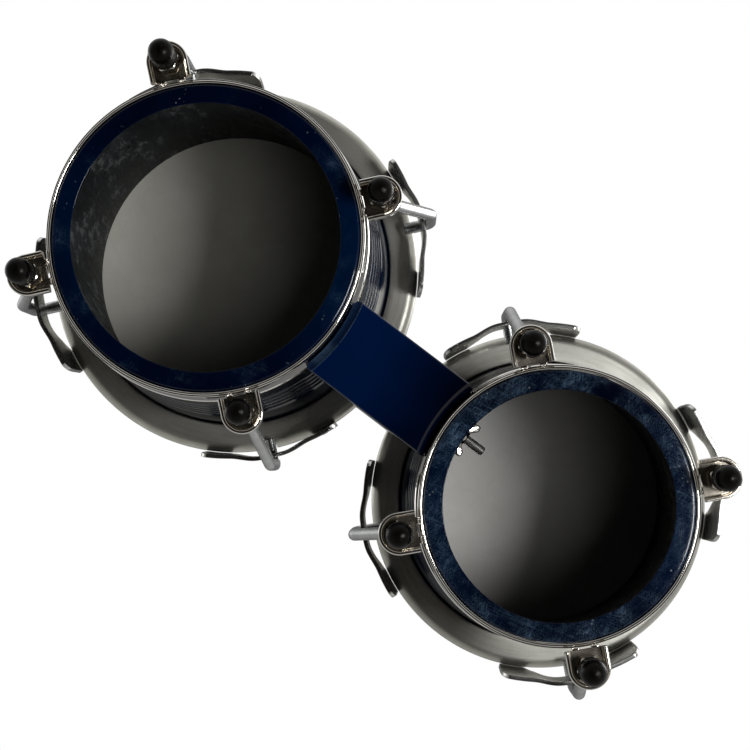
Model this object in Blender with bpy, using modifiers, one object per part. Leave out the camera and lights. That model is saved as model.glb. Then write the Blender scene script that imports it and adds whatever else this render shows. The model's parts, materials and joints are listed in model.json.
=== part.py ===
"""Bongos: two tapered drums on a centre block, tuned by hooks, nuts and rolled rims.

Metres, +Z up, heads up. The line through both drum axes is X, with the larger drum at -X.
The origin is on the floor, under the middle of the pair: the drums stand on the eight rod caps.
Heights in the drum sections are counted from the foot plane, where both shells end.
"""

import math
from collections import namedtuple

import bmesh
import bpy
from mathutils import Vector

# Fits
GAP = 0.0003  # between pieces that touch
ROD_CLEARANCE = 0.0005  # round a rod in its ear, and round the bolt
NUT_CLEARANCE = 0.0003  # round a rod in its nut and its cap

# Drums
AXIS_SPACING = 0.247
BIG_FOOT_RADIUS = 0.0868  # outside of the wood at the foot
SMALL_FOOT_RADIUS = 0.0750
BIG_LUG_TURN = math.radians(-4.7)  # from the even places at 45 degrees
SMALL_LUG_TURN = math.radians(-2.2)
LUGS = 4
FIRST_LUG = math.radians(45)

# Shells
SHELL_HEIGHT = 0.165
SHELL_FLARE = 0.0158  # growth in radius from foot to bearing edge
SHELL_WALL = 0.011
BEARING_ROUND = 0.003
FOOT_ROUND = 0.0016

# Skins
SKIN = 0.001
COLLAR_DEPTH = 0.0145  # how far the skin comes down outside the shell
HOOP_DIAMETER = 0.007

# Rims, rolled from sheet
RIM_SHEET = 0.0022
RIM_REACH = 0.0166  # from the shell's top edge to the rim's outside
RIM_DROP = 0.0033  # from the head down to the rim's crown
RIM_DEPTH = 0.0240
RIM_INNER_ROUND = 0.0034
RIM_UNDER_ROUND = 0.0050
RIM_CROWN_HEIGHT = 0.0095
RIM_COLLAR_ROOM = 0.0017  # from the skin's collar to the rim's inner leg
RIM_FLANGE_ROOM = 0.0008  # from the shell's top edge to the rim's lower flange

# Side plates, welded to the rim's outside
PLATE_SHEET = 0.0025
PLATE_LENGTH = 0.088
PLATE_PAD = 0.019  # length of each welded end
PLATE_BAR_HEIGHT = 0.017  # height of the strip that the hook holds
PLATE_PAD_RISE = 0.022  # from the strip's top to the pad's top
PLATE_BOW = 0.0026  # how far the strip stands off the rim
PLATE_FLARE = 0.0015  # how far the plate's lower edge leans out past its top
PLATE_DROP = 0.013  # from the rim's underside to the strip's top
PLATE_CORNER = 0.0035
PLATE_END_DRAW = 0.0050  # how far each end draws in towards its lower corner
PLATE_END_RISE = 0.0160  # height over which it draws in

# Bottom rings and their ears
RING_SHEET = 0.0018
RING_HEIGHT = 0.026
RING_BEAD = 0.0007
EAR_REACH = 0.0121  # from the ring's outside to the rod
EAR_WIDTH = 0.0235
EAR_SHEET = 0.0022
EAR_DEPTH = 0.0072
EAR_FLOOR = 0.0005  # underside of the ear's floor
EAR_SLOT = 0.0020  # between ring and ear, bridged by two tabs
TAB_WIDTH = 0.0042
TAB_SPREAD = 0.0150  # between the tabs' outer sides

# Tuning hooks, nuts and caps
ROD_DIAMETER = 0.0075
ROD_TAIL = 0.0270  # from the foot plane down to the rod's end
HOOK_BEND = 0.014  # height over the foot plane where the rod starts to lean out
HOOK_BEND_RADIUS = 0.020
HOOK_CORNER = 0.0065
HOOK_SHOULDER = 0.013  # from the side plate's underside down to where the rod is upright again
HOOK_SIDE_ROOM = 0.0004
HOOK_SEAT_RISE = 0.00469  # from the side plate's top to the axis of the hook's leg
HOOK_TIP_INSET = 0.0060  # from the rim's outside in to the hook's cut end
NUT_ACROSS_FLATS = 0.013
NUT_HEIGHT = 0.010
CAP_DIAMETER = 0.0146
CAP_LENGTH = 0.0189
CAP_FLAT = 0.0025  # radius of the flat that the drum stands on
CAP_TO_NUT = 0.0018  # room to slacken the nut

# Centre block and its bolt
BLOCK_WIDTH = 0.048
BLOCK_HEIGHT = 0.082
BLOCK_LIFT = 0.003  # from the foot plane up to the block's underside
BLOCK_CHAMFER = 0.005
BLOCK_EDGE = 0.0012
BLOCK_RING_ROOM = 0.0005
BOLT_DIAMETER = 0.006
BOLT_HEIGHT = 0.055
BOLT_TIP_RADIUS = 0.0492  # from the small drum's axis to the bolt's end
BOLT_HEAD_DIAMETER = 0.0135
BOLT_HEAD_HEIGHT = 0.0036
WASHER_DIAMETER = 0.018
WASHER_THICKNESS = 0.0010
WING_HUB_DIAMETER = 0.0105
WING_HUB_LENGTH = 0.0050
WING_SPAN = 0.0220
WING_THICKNESS = 0.0022
WING_START = 0.0012  # from the nut's seat to the wings
WING_RISE = 0.0014  # how far the wings stand past the hub
WING_TURN = math.radians(-10)

# Facets
DRUM_STEPS = 40
SMALL_STEPS = 12
BORE_STEPS = 16
SMOOTH_ANGLE = math.radians(35)
MERGE = 1e-5
CUT_OVERRUN = 0.002  # how far a cutter runs past what it cuts

# Places that follow from the sizes above
HEAD_TOP = SHELL_HEIGHT + GAP + SKIN
CAP_TOP = EAR_FLOOR - GAP - NUT_HEIGHT - CAP_TO_NUT
CAP_TIP = CAP_TOP - CAP_LENGTH
FOOT_Z = -CAP_TIP  # height of the foot plane over the floor
RIM_TOP = HEAD_TOP - RIM_DROP
RIM_UNDERSIDE = RIM_TOP - RIM_DEPTH
HOOP_TOP = HEAD_TOP - SKIN - COLLAR_DEPTH + HOOP_DIAMETER / 2
PLATE_BAR_TOP = RIM_UNDERSIDE - PLATE_DROP
PLATE_BAR_BOTTOM = PLATE_BAR_TOP - PLATE_BAR_HEIGHT
BLOCK_TOP = BLOCK_LIFT + BLOCK_HEIGHT
SHELL_SLOPE = SHELL_FLARE / SHELL_HEIGHT

Drum = namedtuple("Drum", "name x foot_radius lug_turn")
# The bounding box reaches from one rim to the other, so half their difference centres it.
CENTRE_SHIFT = (BIG_FOOT_RADIUS - SMALL_FOOT_RADIUS) / 2
BIG = Drum("big", CENTRE_SHIFT - AXIS_SPACING / 2, BIG_FOOT_RADIUS, BIG_LUG_TURN)
SMALL = Drum("small", CENTRE_SHIFT + AXIS_SPACING / 2, SMALL_FOOT_RADIUS, SMALL_LUG_TURN)
DRUMS = (BIG, SMALL)


def shell_outside(drum, height):
    """Radius of the shell's outer wall at a height over the foot plane."""
    return drum.foot_radius + SHELL_SLOPE * height


def shell_inside(drum, height):
    return shell_outside(drum, height) - SHELL_WALL


def ring_outside(drum, height):
    return shell_outside(drum, height) + GAP + RING_SHEET


def rod_radius(drum):
    """Distance from the drum's axis to each rod's upright part."""
    return ring_outside(drum, 0) + EAR_REACH


def rim_outside(drum):
    return shell_outside(drum, SHELL_HEIGHT) + RIM_REACH


def lug_angles(drum):
    return [FIRST_LUG + drum.lug_turn + i * math.tau / LUGS for i in range(LUGS)]


# Scene and materials


def clear_scene():
    for obj in list(bpy.data.objects):
        bpy.data.objects.remove(obj)


def collection(name):
    made = bpy.data.collections.new(name)
    bpy.context.scene.collection.children.link(made)
    return made


def material(name, colour, roughness, metallic=0.0, coat=0.0):
    """A Principled material with one colour, as the viewport and a plain render show it."""
    made = bpy.data.materials.new(name)
    made.use_nodes = True
    shader = made.node_tree.nodes["Principled BSDF"]
    shader.inputs["Base Color"].default_value = (*colour, 1)
    shader.inputs["Roughness"].default_value = roughness
    shader.inputs["Metallic"].default_value = metallic
    shader.inputs["Coat Weight"].default_value = coat
    made.diffuse_color = (*colour, 1)
    return made


def empty(name, location, parent=None):
    made = bpy.data.objects.new(name, None)
    made.empty_display_size = 0.02
    made.location = location
    made.parent = parent
    PARTS.objects.link(made)
    return made


# Ways of making a piece


def arc(centre, radius, start, end, steps):
    """Points on an arc in a profile, from one angle to another, in degrees from +X."""
    angles = [math.radians(start + (end - start) * i / steps) for i in range(steps + 1)]
    return [(centre[0] + radius * math.cos(a), centre[1] + radius * math.sin(a)) for a in angles]


def baked(source):
    """The final mesh of an object with modifiers, or of a curve; the object is removed."""
    bpy.context.view_layer.update()
    graph = bpy.context.evaluated_depsgraph_get()
    mesh = bpy.data.meshes.new_from_object(source.evaluated_get(graph))
    bpy.data.objects.remove(source)
    shape = bmesh.new()
    shape.from_mesh(mesh)
    bmesh.ops.remove_doubles(shape, verts=shape.verts, dist=MERGE)
    shape.to_mesh(mesh)
    shape.free()
    mesh.shade_smooth()
    mesh.set_sharp_from_angle(angle=SMOOTH_ANGLE)
    return mesh


def helper(data):
    made = bpy.data.objects.new("helper", data)
    CUTTERS.objects.link(made)
    return made


def turned_mesh(profile, steps, closed=True):
    """A profile of (radius, height) points turned round Z. It runs down its outer side."""
    mesh = bpy.data.meshes.new("profile")
    ends = [(i, i + 1) for i in range(len(profile) - 1)]
    if closed:
        ends.append((len(profile) - 1, 0))
    mesh.from_pydata([(r, 0, z) for r, z in profile], ends, [])
    source = helper(mesh)
    screw = source.modifiers.new("turn", "SCREW")
    screw.axis = "Z"
    screw.steps = screw.render_steps = steps
    screw.use_merge_vertices = True
    screw.merge_threshold = MERGE
    return baked(source)


def cylinder_mesh(radius, bottom, top, steps):
    shape = bmesh.new()
    bmesh.ops.create_cone(
        shape, cap_ends=True, segments=steps, radius1=radius, radius2=radius, depth=top - bottom
    )
    bmesh.ops.translate(shape, verts=shape.verts, vec=(0, 0, (top + bottom) / 2))
    mesh = bpy.data.meshes.new("cylinder")
    shape.to_mesh(mesh)
    shape.free()
    return mesh


def box_mesh(low, high, bevel=0.0):
    """A box between two corners, with its edges along X bevelled."""
    shape = bmesh.new()
    bmesh.ops.create_cube(shape, size=1)
    size = [b - a for a, b in zip(low, high)]
    centre = [(a + b) / 2 for a, b in zip(low, high)]
    bmesh.ops.scale(shape, verts=shape.verts, vec=size)
    bmesh.ops.translate(shape, verts=shape.verts, vec=centre)
    if bevel:
        level = [e for e in shape.edges if abs(e.verts[0].co.x - e.verts[1].co.x) > bevel]
        bmesh.ops.bevel(shape, geom=level, offset=bevel, segments=2, affect="EDGES", profile=0.5)
    mesh = bpy.data.meshes.new("box")
    shape.to_mesh(mesh)
    shape.free()
    return mesh


def plate_mesh(outline, bottom, top):
    """A flat outline in X and Y, as thick as from bottom to top."""
    curve = bpy.data.curves.new("outline", "CURVE")
    curve.dimensions = "2D"
    curve.fill_mode = "BOTH"
    curve.extrude = (top - bottom) / 2
    spline = curve.splines.new("POLY")
    spline.points.add(len(outline) - 1)
    for point, (x, y) in zip(spline.points, outline):
        point.co = (x, y, 0, 1)
    spline.use_cyclic_u = True
    mesh = baked(helper(curve))
    for vertex in mesh.vertices:
        vertex.co.z += (top + bottom) / 2
    return mesh


def tube_mesh(points, radius):
    """A round rod along points in the XZ plane."""
    curve = bpy.data.curves.new("rod", "CURVE")
    curve.dimensions = "3D"
    curve.bevel_depth = radius
    curve.bevel_resolution = 2
    curve.use_fill_caps = True
    spline = curve.splines.new("POLY")
    spline.points.add(len(points) - 1)
    for point, (x, z) in zip(spline.points, points):
        point.co = (x, 0, z, 1)
    return baked(helper(curve))


def combined(base, others):
    """The mesh of base with each other mesh cut from it or joined to it."""
    body = helper(base)
    for operation, mesh in others:
        step = body.modifiers.new(operation.lower(), "BOOLEAN")
        step.operation = operation
        step.solver = "EXACT"
        step.object = helper(mesh)
    tools = [step.object for step in body.modifiers]
    result = baked(body)
    for tool in tools:
        bpy.data.objects.remove(tool)
    return result


def cut_by(piece, mesh, name, location=(0, 0, 0), rotation=(0, 0, 0)):
    """Cuts a cutter, given in world space, from a piece and keeps both editable."""
    cutter = bpy.data.objects.new(name, mesh)
    cutter.location = location
    cutter.rotation_euler = rotation
    cutter.hide_render = True
    cutter.display_type = "WIRE"
    CUTTERS.objects.link(cutter)
    step = piece.modifiers.new(name, "BOOLEAN")
    step.operation = "DIFFERENCE"
    step.solver = "EXACT"
    step.object = cutter


def place(name, mesh, finish, parent, location=(0, 0, 0), turn=0.0):
    """One named piece of the object."""
    made = bpy.data.objects.new(name, mesh)
    if not mesh.materials:
        mesh.materials.append(finish)
    made.parent = parent
    made.location = location
    made.rotation_euler = (0, 0, turn)
    PARTS.objects.link(made)
    return made


def at_lug(drum, angle):
    radius = rod_radius(drum)
    return (radius * math.cos(angle), radius * math.sin(angle), 0)


# Shells and bottom rings


def shell_profile(drum):
    """Outer wall down, then inner wall up, with a rounded foot and bearing edge."""
    top_out = shell_outside(drum, SHELL_HEIGHT)
    foot_out = shell_outside(drum, 0)
    foot_in = shell_inside(drum, 0)
    top_in = shell_inside(drum, SHELL_HEIGHT)
    crown = (top_out - BEARING_ROUND, SHELL_HEIGHT - BEARING_ROUND)
    heel = (foot_out - FOOT_ROUND, FOOT_ROUND)
    return [
        *arc(crown, BEARING_ROUND, 90, 0, 3),
        *arc(heel, FOOT_ROUND, 0, -90, 2),
        (foot_in + FOOT_ROUND / 2, 0),
        (foot_in, FOOT_ROUND / 2),
        (top_in, SHELL_HEIGHT - FOOT_ROUND),
        (top_in + FOOT_ROUND, SHELL_HEIGHT),
    ]


def ring_profile(drum):
    """A tapered sheet band round the foot, with a beaded lower edge."""
    low_out = ring_outside(drum, 0)
    return [
        (ring_outside(drum, RING_HEIGHT), RING_HEIGHT),
        (ring_outside(drum, 4 * RING_BEAD), 4 * RING_BEAD),
        (low_out + RING_BEAD, 2 * RING_BEAD),
        (low_out + RING_BEAD, RING_BEAD / 2),
        (low_out, 0),
        (low_out - RING_SHEET, 0),
        (ring_outside(drum, RING_HEIGHT) - RING_SHEET, RING_HEIGHT),
    ]


def ear_outline(width, inset):
    """A D shape round the rod, whose straight side faces the ring."""
    radius = width / 2
    base = -EAR_REACH + EAR_SLOT + inset
    rounded = arc((0, 0), radius, -90, 90, SMALL_STEPS)
    return [(base, -radius), *rounded, (base, radius)]


def ear_mesh():
    """A pressed dish, open downwards and towards the ring, with two tabs and a hole for the rod."""
    dish_bottom = EAR_FLOOR + EAR_SHEET - EAR_DEPTH
    floor_top = EAR_FLOOR + EAR_SHEET
    body = plate_mesh(ear_outline(EAR_WIDTH, 0), dish_bottom, floor_top)
    pocket = plate_mesh(
        ear_outline(EAR_WIDTH - 2 * EAR_SHEET, -CUT_OVERRUN), dish_bottom - CUT_OVERRUN, EAR_FLOOR
    )
    hole_radius = ROD_DIAMETER / 2 + ROD_CLEARANCE
    hole = cylinder_mesh(hole_radius, dish_bottom - CUT_OVERRUN, floor_top + CUT_OVERRUN, BORE_STEPS)
    steps = [("DIFFERENCE", pocket), ("DIFFERENCE", hole)]
    # The tabs reach the ring past its bead and where it leans out at their height.
    tab_start = -EAR_REACH + RING_BEAD + SHELL_SLOPE * floor_top + GAP
    for side in (-1, 1):
        outer = side * TAB_SPREAD / 2
        inner = side * (TAB_SPREAD / 2 - TAB_WIDTH)
        low = (tab_start, min(outer, inner), EAR_FLOOR + GAP)
        high = (-EAR_REACH + EAR_SLOT + EAR_SHEET / 2, max(outer, inner), floor_top - GAP)
        steps.append(("UNION", box_mesh(low, high)))
    return combined(body, steps)


# Skins, hoops and rims


def head_profile(drum):
    """The flat of the skin, over the bearing edge and over the top of its collar."""
    edge = shell_outside(drum, SHELL_HEIGHT) + GAP + SKIN
    return [(0, HEAD_TOP), (edge - SKIN / 2, HEAD_TOP), (edge, HEAD_TOP - SKIN / 2),
            (edge, HEAD_TOP - SKIN), (0, HEAD_TOP - SKIN)]


def collar_profile(drum):
    """The skin outside the shell, from just under the head down to the flesh hoop."""
    inside = shell_outside(drum, SHELL_HEIGHT) + GAP
    top = HEAD_TOP - SKIN - GAP
    bottom = top - COLLAR_DEPTH
    return [(inside + SKIN, top), (inside + SKIN, bottom), (inside, bottom), (inside, top)]


def hoop_profile(drum):
    """The round hoop that the skin is lapped on."""
    radius = HOOP_DIAMETER / 2
    middle = shell_outside(drum, SHELL_HEIGHT) + SKIN + 2 * GAP + radius
    points = arc((middle, HOOP_TOP - radius), radius, 90, -270, 6)
    return points[:-1]


def sheet_section(path, thickness):
    """The closed section of a sheet bent along a path, with both ends cut square."""
    left, right = [], []
    for i, (x, z) in enumerate(path):
        before = path[max(i - 1, 0)]
        after = path[min(i + 1, len(path) - 1)]
        normals = []
        for (ax, az), (bx, bz) in ((before, (x, z)), ((x, z), after)):
            length = math.hypot(bx - ax, bz - az)
            if length:
                normals.append(((az - bz) / length, (bx - ax) / length))
        nx = sum(n[0] for n in normals) / len(normals)
        nz = sum(n[1] for n in normals) / len(normals)
        stretch = thickness / 2 / (nx * nx + nz * nz)
        left.append((x + nx * stretch, z + nz * stretch))
        right.append((x - nx * stretch, z - nz * stretch))
    return left + right[::-1]


def rim_profile(drum):
    """A rolled rim: an inner leg on the flesh hoop, a rounded crown and a turned-under flange."""
    half = RIM_SHEET / 2
    shell_top = shell_outside(drum, SHELL_HEIGHT)
    leg_x = shell_top + GAP + SKIN + RIM_COLLAR_ROOM + half
    out_x = rim_outside(drum) - half
    in_x = shell_top + RIM_FLANGE_ROOM
    top = RIM_TOP - half
    under = RIM_UNDERSIDE + half
    inner_centre = (leg_x + RIM_INNER_ROUND, top - RIM_INNER_ROUND)
    crown_width = out_x - inner_centre[0]
    crown = [
        (inner_centre[0] + crown_width * math.sin(a), top - RIM_CROWN_HEIGHT * (1 - math.cos(a)))
        for a in (math.radians(30), math.radians(60), math.radians(90))
    ]
    under_centre = (out_x - RIM_UNDER_ROUND, under + RIM_UNDER_ROUND)
    path = [
        (leg_x, HOOP_TOP + GAP),
        *arc(inner_centre, RIM_INNER_ROUND, 180, 90, 2),
        *crown,
        *arc(under_centre, RIM_UNDER_ROUND, 0, -90, 3),
        (in_x, under),
    ]
    return sheet_section(path, RIM_SHEET)


def side_plate_mesh(drum):
    """A strip bowed clear of the rim, whose taller ends lie on the rim's outside."""
    half = PLATE_LENGTH / 2
    pad_start = half - PLATE_PAD
    pad_top = PLATE_BAR_TOP + PLATE_PAD_RISE
    slant = PLATE_CORNER + PLATE_PAD_RISE / 6
    # The lower corner is a quarter of an ellipse, in two straight steps.
    bend = 1 - math.cos(math.radians(45))
    side = [
        (half - PLATE_END_DRAW, PLATE_BAR_BOTTOM),
        (half - PLATE_END_DRAW * bend, PLATE_BAR_BOTTOM + PLATE_END_RISE * bend),
        (half, PLATE_BAR_BOTTOM + PLATE_END_RISE),
        (half, pad_top - PLATE_CORNER),
        (half - PLATE_CORNER, pad_top),
        (pad_start + PLATE_CORNER, pad_top),
        (pad_start, pad_top - PLATE_PAD_RISE / 2),
        (pad_start - slant, PLATE_BAR_TOP),
    ]
    outline = side + [(-s, z) for s, z in reversed(side)]
    flat = bmesh.new()
    flat.faces.new([flat.verts.new((s, 0, z)) for s, z in outline])
    columns = {s for s, _ in outline} | {0.0, pad_start / 3, -pad_start / 3, pad_start / 1.6, -pad_start / 1.6}
    for column in sorted(columns):
        everything = flat.verts[:] + flat.edges[:] + flat.faces[:]
        bmesh.ops.bisect_plane(flat, geom=everything, plane_co=(column, 0, 0), plane_no=(1, 0, 0), dist=MERGE)
    radius = rim_outside(drum) + GAP
    for vertex in flat.verts:
        along = vertex.co.x
        bow = 0.5 + 0.5 * math.cos(math.pi * min(1, max(0, abs(along) / pad_start - 0.3) / 0.7))
        lean = (pad_top - vertex.co.z) / (pad_top - PLATE_BAR_BOTTOM)
        out = radius + PLATE_BOW * bow + PLATE_FLARE * lean
        angle = along / radius
        vertex.co.x = out * math.cos(angle)
        vertex.co.y = out * math.sin(angle)
    bmesh.ops.recalc_face_normals(flat, faces=flat.faces)
    if flat.faces[:][0].normal.x < 0:
        bmesh.ops.reverse_faces(flat, faces=flat.faces)
    mesh = bpy.data.meshes.new("side_plate")
    flat.to_mesh(mesh)
    flat.free()
    source = helper(mesh)
    wall = source.modifiers.new("sheet", "SOLIDIFY")
    wall.thickness = PLATE_SHEET
    wall.offset = 1
    wall.use_even_offset = True
    return baked(source)


# Hooks, nuts and caps, round the rod's own axis


def rounded_path(corners, radii, steps=4):
    """A path through corners, each inner one rounded by an arc of its own radius."""
    path = [corners[0]]
    for i, radius in enumerate(radii, 1):
        here = Vector(corners[i])
        back = (Vector(corners[i - 1]) - here).normalized()
        ahead = (Vector(corners[i + 1]) - here).normalized()
        half = back.angle(ahead) / 2
        middle = here + (back + ahead).normalized() * radius / math.sin(half)
        first = (here + back * radius / math.tan(half) - middle).normalized()
        last = (here + ahead * radius / math.tan(half) - middle).normalized()
        path += [tuple(middle + first.slerp(last, k / steps) * radius) for k in range(steps + 1)]
    path.append(corners[-1])
    return path


def hook_points():
    """The rod from its threaded end up, leaning out past the side plate, and back over its top."""
    radius = ROD_DIAMETER / 2
    # The rod stands this far inside the rim, on both drums alike.
    to_rim = SHELL_FLARE + RIM_REACH - GAP - RING_SHEET - EAR_REACH
    plate_outside = to_rim + GAP + PLATE_BOW + PLATE_FLARE + PLATE_SHEET
    outer_x = plate_outside + HOOK_SIDE_ROOM + radius
    leg_z = PLATE_BAR_TOP + HOOK_SEAT_RISE
    corners = [
        (0, -ROD_TAIL),
        (0, HOOK_BEND),
        (outer_x, PLATE_BAR_BOTTOM - HOOK_SHOULDER),
        (outer_x, leg_z),
        (to_rim - HOOK_TIP_INSET, leg_z),
    ]
    return rounded_path(corners, [HOOK_BEND_RADIUS, HOOK_BEND_RADIUS, HOOK_CORNER])


def nut_mesh():
    top = EAR_FLOOR - GAP
    bottom = top - NUT_HEIGHT
    corner = NUT_ACROSS_FLATS / math.sqrt(3)
    bore = cylinder_mesh(
        ROD_DIAMETER / 2 + NUT_CLEARANCE, bottom - CUT_OVERRUN, top + CUT_OVERRUN, BORE_STEPS
    )
    return combined(cylinder_mesh(corner, bottom, top, 6), [("DIFFERENCE", bore)])


def cap_profile():
    """A blind sleeve with a domed end, flattened where the drum stands on it."""
    outside = CAP_DIAMETER / 2
    bore = ROD_DIAMETER / 2 + NUT_CLEARANCE
    dome_z = CAP_TIP + outside
    flat_angle = -math.degrees(math.acos(CAP_FLAT / outside))
    return [
        (0, -ROD_TAIL - GAP),
        (bore, -ROD_TAIL - GAP),
        (bore, CAP_TOP),
        (outside, CAP_TOP),
        *arc((0, dome_z), outside, 0, flat_angle, 4)[:-1],
        (CAP_FLAT, CAP_TIP),
        (0, CAP_TIP),
    ]


# Centre block and bolt


def block_end_profile(drum):
    """What the block's end clears: a chamfer below, then the ring, then the shell."""
    low = BLOCK_LIFT - CUT_OVERRUN
    ring_top = RING_HEIGHT + BLOCK_RING_ROOM
    chamfer_top = BLOCK_LIFT + BLOCK_CHAMFER
    high = BLOCK_TOP + CUT_OVERRUN
    clear = RING_BEAD + BLOCK_RING_ROOM
    return [
        (0, high),
        (shell_outside(drum, high) + GAP, high),
        (shell_outside(drum, ring_top) + GAP, ring_top),
        (ring_outside(drum, ring_top) + clear, ring_top),
        (ring_outside(drum, chamfer_top) + clear, chamfer_top),
        (ring_outside(drum, chamfer_top) + clear + BLOCK_CHAMFER, BLOCK_LIFT),
        (ring_outside(drum, chamfer_top) + clear + BLOCK_CHAMFER + CUT_OVERRUN, low),
        (0, low),
    ]


def seat_radius(drum):
    """Distance from a drum's axis to the outer face of the washer in its shell."""
    half = WASHER_DIAMETER / 2
    lowest = shell_inside(drum, BOLT_HEIGHT - half)
    widest = math.sqrt(shell_inside(drum, BOLT_HEIGHT) ** 2 - half**2)
    curve_share = half**2 / (8 * lowest)
    return min(lowest, widest) - curve_share - GAP


def ring_section(outer, inner, bottom, top):
    return [(outer, top), (outer, bottom), (inner, bottom), (inner, top)]


def bolt_profile(length):
    """A round-headed bolt along its own axis: the head below 0, the shank from 0 to its length."""
    shank = BOLT_DIAMETER / 2
    head = BOLT_HEAD_DIAMETER / 2
    return [
        (0, length),
        (shank - MERGE * 50, length),
        (shank, length - shank / 4),
        (shank, 0),
        (head, 0),
        (head, -BOLT_HEAD_HEIGHT / 3),
        (head * 0.7, -BOLT_HEAD_HEIGHT * 0.85),
        (0, -BOLT_HEAD_HEIGHT),
    ]


def wing_nut_mesh():
    """A tapered hub with two wings, its seat at 0 and its axis along Z."""
    hub = WING_HUB_DIAMETER / 2
    body = turned_mesh(
        [(0, WING_HUB_LENGTH), (hub * 0.8, WING_HUB_LENGTH), (hub, 0), (0, 0)],
        SMALL_STEPS,
        closed=False,
    )
    top = WING_HUB_LENGTH + WING_RISE
    half = WING_SPAN / 2
    middle = (WING_START + top) / 2
    wings = []
    for side in (-1, 1):
        root = hub / 2
        outline = [(root, WING_START), (half * 0.7, WING_START), (half, middle - WING_RISE / 2),
                   (half, top - WING_RISE / 3), (half * 0.85, top), (root, WING_HUB_LENGTH * 0.8)]
        # Drawn in X and Y, then stood up so that the outline's Y runs along the axis.
        mesh = plate_mesh([(side * x, y) for x, y in outline], -WING_THICKNESS / 2, WING_THICKNESS / 2)
        for vertex in mesh.vertices:
            x, y, z = vertex.co
            vertex.co = (x, -z, y)
        wings.append(("UNION", mesh))
    bore = cylinder_mesh(
        BOLT_DIAMETER / 2 + NUT_CLEARANCE, -CUT_OVERRUN, top + CUT_OVERRUN, BORE_STEPS
    )
    return combined(body, [*wings, ("DIFFERENCE", bore)])


# The object


def build_drum(drum, finishes, shared):
    """All pieces of one drum, on an empty at its axis in the foot plane."""
    fixed = empty(f"{drum.name}_drum", (drum.x, 0, FOOT_Z))
    tuned = empty(f"{drum.name}_tension_set", (0, 0, 0), fixed)
    name = drum.name
    shell = place(f"{name}_shell", turned_mesh(shell_profile(drum), DRUM_STEPS), finishes["lacquer"], fixed)
    hole = cylinder_mesh(
        BOLT_DIAMETER / 2 + ROD_CLEARANCE, -2 * SHELL_WALL, 2 * SHELL_WALL, BORE_STEPS
    )
    inward = 1 if drum is BIG else -1
    hole_x = drum.x + inward * (shell_inside(drum, BOLT_HEIGHT) + SHELL_WALL / 2)
    cut_by(shell, hole, f"{name}_bolt_hole", (hole_x, 0, FOOT_Z + BOLT_HEIGHT), (0, math.radians(90), 0))

    place(f"{name}_bottom_ring", turned_mesh(ring_profile(drum), DRUM_STEPS), finishes["chrome"], fixed)
    place(f"{name}_head", turned_mesh(head_profile(drum), DRUM_STEPS, closed=False), finishes["skin"], fixed)
    place(f"{name}_skin_collar", turned_mesh(collar_profile(drum), DRUM_STEPS), finishes["skin"], tuned)
    place(f"{name}_flesh_hoop", turned_mesh(hoop_profile(drum), DRUM_STEPS), finishes["steel"], tuned)
    place(f"{name}_rim", turned_mesh(rim_profile(drum), DRUM_STEPS), finishes["satin"], tuned)
    plate = side_plate_mesh(drum)
    for number, angle in enumerate(lug_angles(drum), 1):
        spot = at_lug(drum, angle)
        place(f"{name}_ear_{number}", shared["ear"], finishes["chrome"], fixed, spot, angle)
        place(f"{name}_nut_{number}", shared["nut"], finishes["chrome"], fixed, spot, angle)
        place(f"{name}_side_plate_{number}", plate, finishes["satin"], tuned, turn=angle)
        place(f"{name}_hook_{number}", shared["hook"], finishes["steel"], tuned, spot, angle)
        place(f"{name}_cap_{number}", shared["cap"], finishes["rubber"], tuned, spot, angle)


def build_block(finishes):
    """The block between the shells, with its through bolt, washers and wing nut."""
    centre = empty("block_centre", (0, 0, FOOT_Z))
    length_low = BIG.x + shell_inside(BIG, 0)
    length_high = SMALL.x - shell_inside(SMALL, 0)
    low = (length_low, -BLOCK_WIDTH / 2, BLOCK_LIFT)
    high = (length_high, BLOCK_WIDTH / 2, BLOCK_TOP)
    block = place("centre_block", box_mesh(low, high, BLOCK_EDGE), finishes["lacquer"], centre)
    for drum in DRUMS:
        end = turned_mesh(block_end_profile(drum), DRUM_STEPS, closed=False)
        cut_by(block, end, f"{drum.name}_block_end", (drum.x, 0, FOOT_Z))
    along = (0, math.radians(90), 0)
    hole = cylinder_mesh(BOLT_DIAMETER / 2 + ROD_CLEARANCE, -AXIS_SPACING / 2, AXIS_SPACING / 2, BORE_STEPS)
    bolt_z = FOOT_Z + BOLT_HEIGHT
    cut_by(block, hole, "block_bolt_hole", (0, 0, bolt_z), along)

    big_seat = BIG.x + seat_radius(BIG)
    small_seat = SMALL.x - seat_radius(SMALL)
    washer_hole = BOLT_DIAMETER / 2 + ROD_CLEARANCE
    washer = turned_mesh(ring_section(WASHER_DIAMETER / 2, washer_hole, 0, WASHER_THICKNESS), BORE_STEPS)
    head_x = big_seat - WASHER_THICKNESS - GAP
    tip_x = SMALL.x - BOLT_TIP_RADIUS
    bolt = turned_mesh(bolt_profile(tip_x - head_x), BORE_STEPS, closed=False)
    pieces = (
        ("big_washer", washer, big_seat - WASHER_THICKNESS, "chrome"),
        ("small_washer", washer, small_seat, "chrome"),
        ("through_bolt", bolt, head_x, "steel"),
        ("wing_nut", wing_nut_mesh(), small_seat + WASHER_THICKNESS + GAP, "chrome"),
    )
    for name, mesh, x, finish in pieces:
        piece = place(name, mesh, finishes[finish], centre, (x, 0, BOLT_HEIGHT))
        piece.rotation_euler = along
    # The wings lie nearly level: the nut turns about the bolt after it is laid along it.
    wing_nut = bpy.data.objects["wing_nut"]
    wing_nut.rotation_mode = "ZYX"
    wing_nut.rotation_euler = (math.radians(90) + WING_TURN, math.radians(90), 0)


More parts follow.
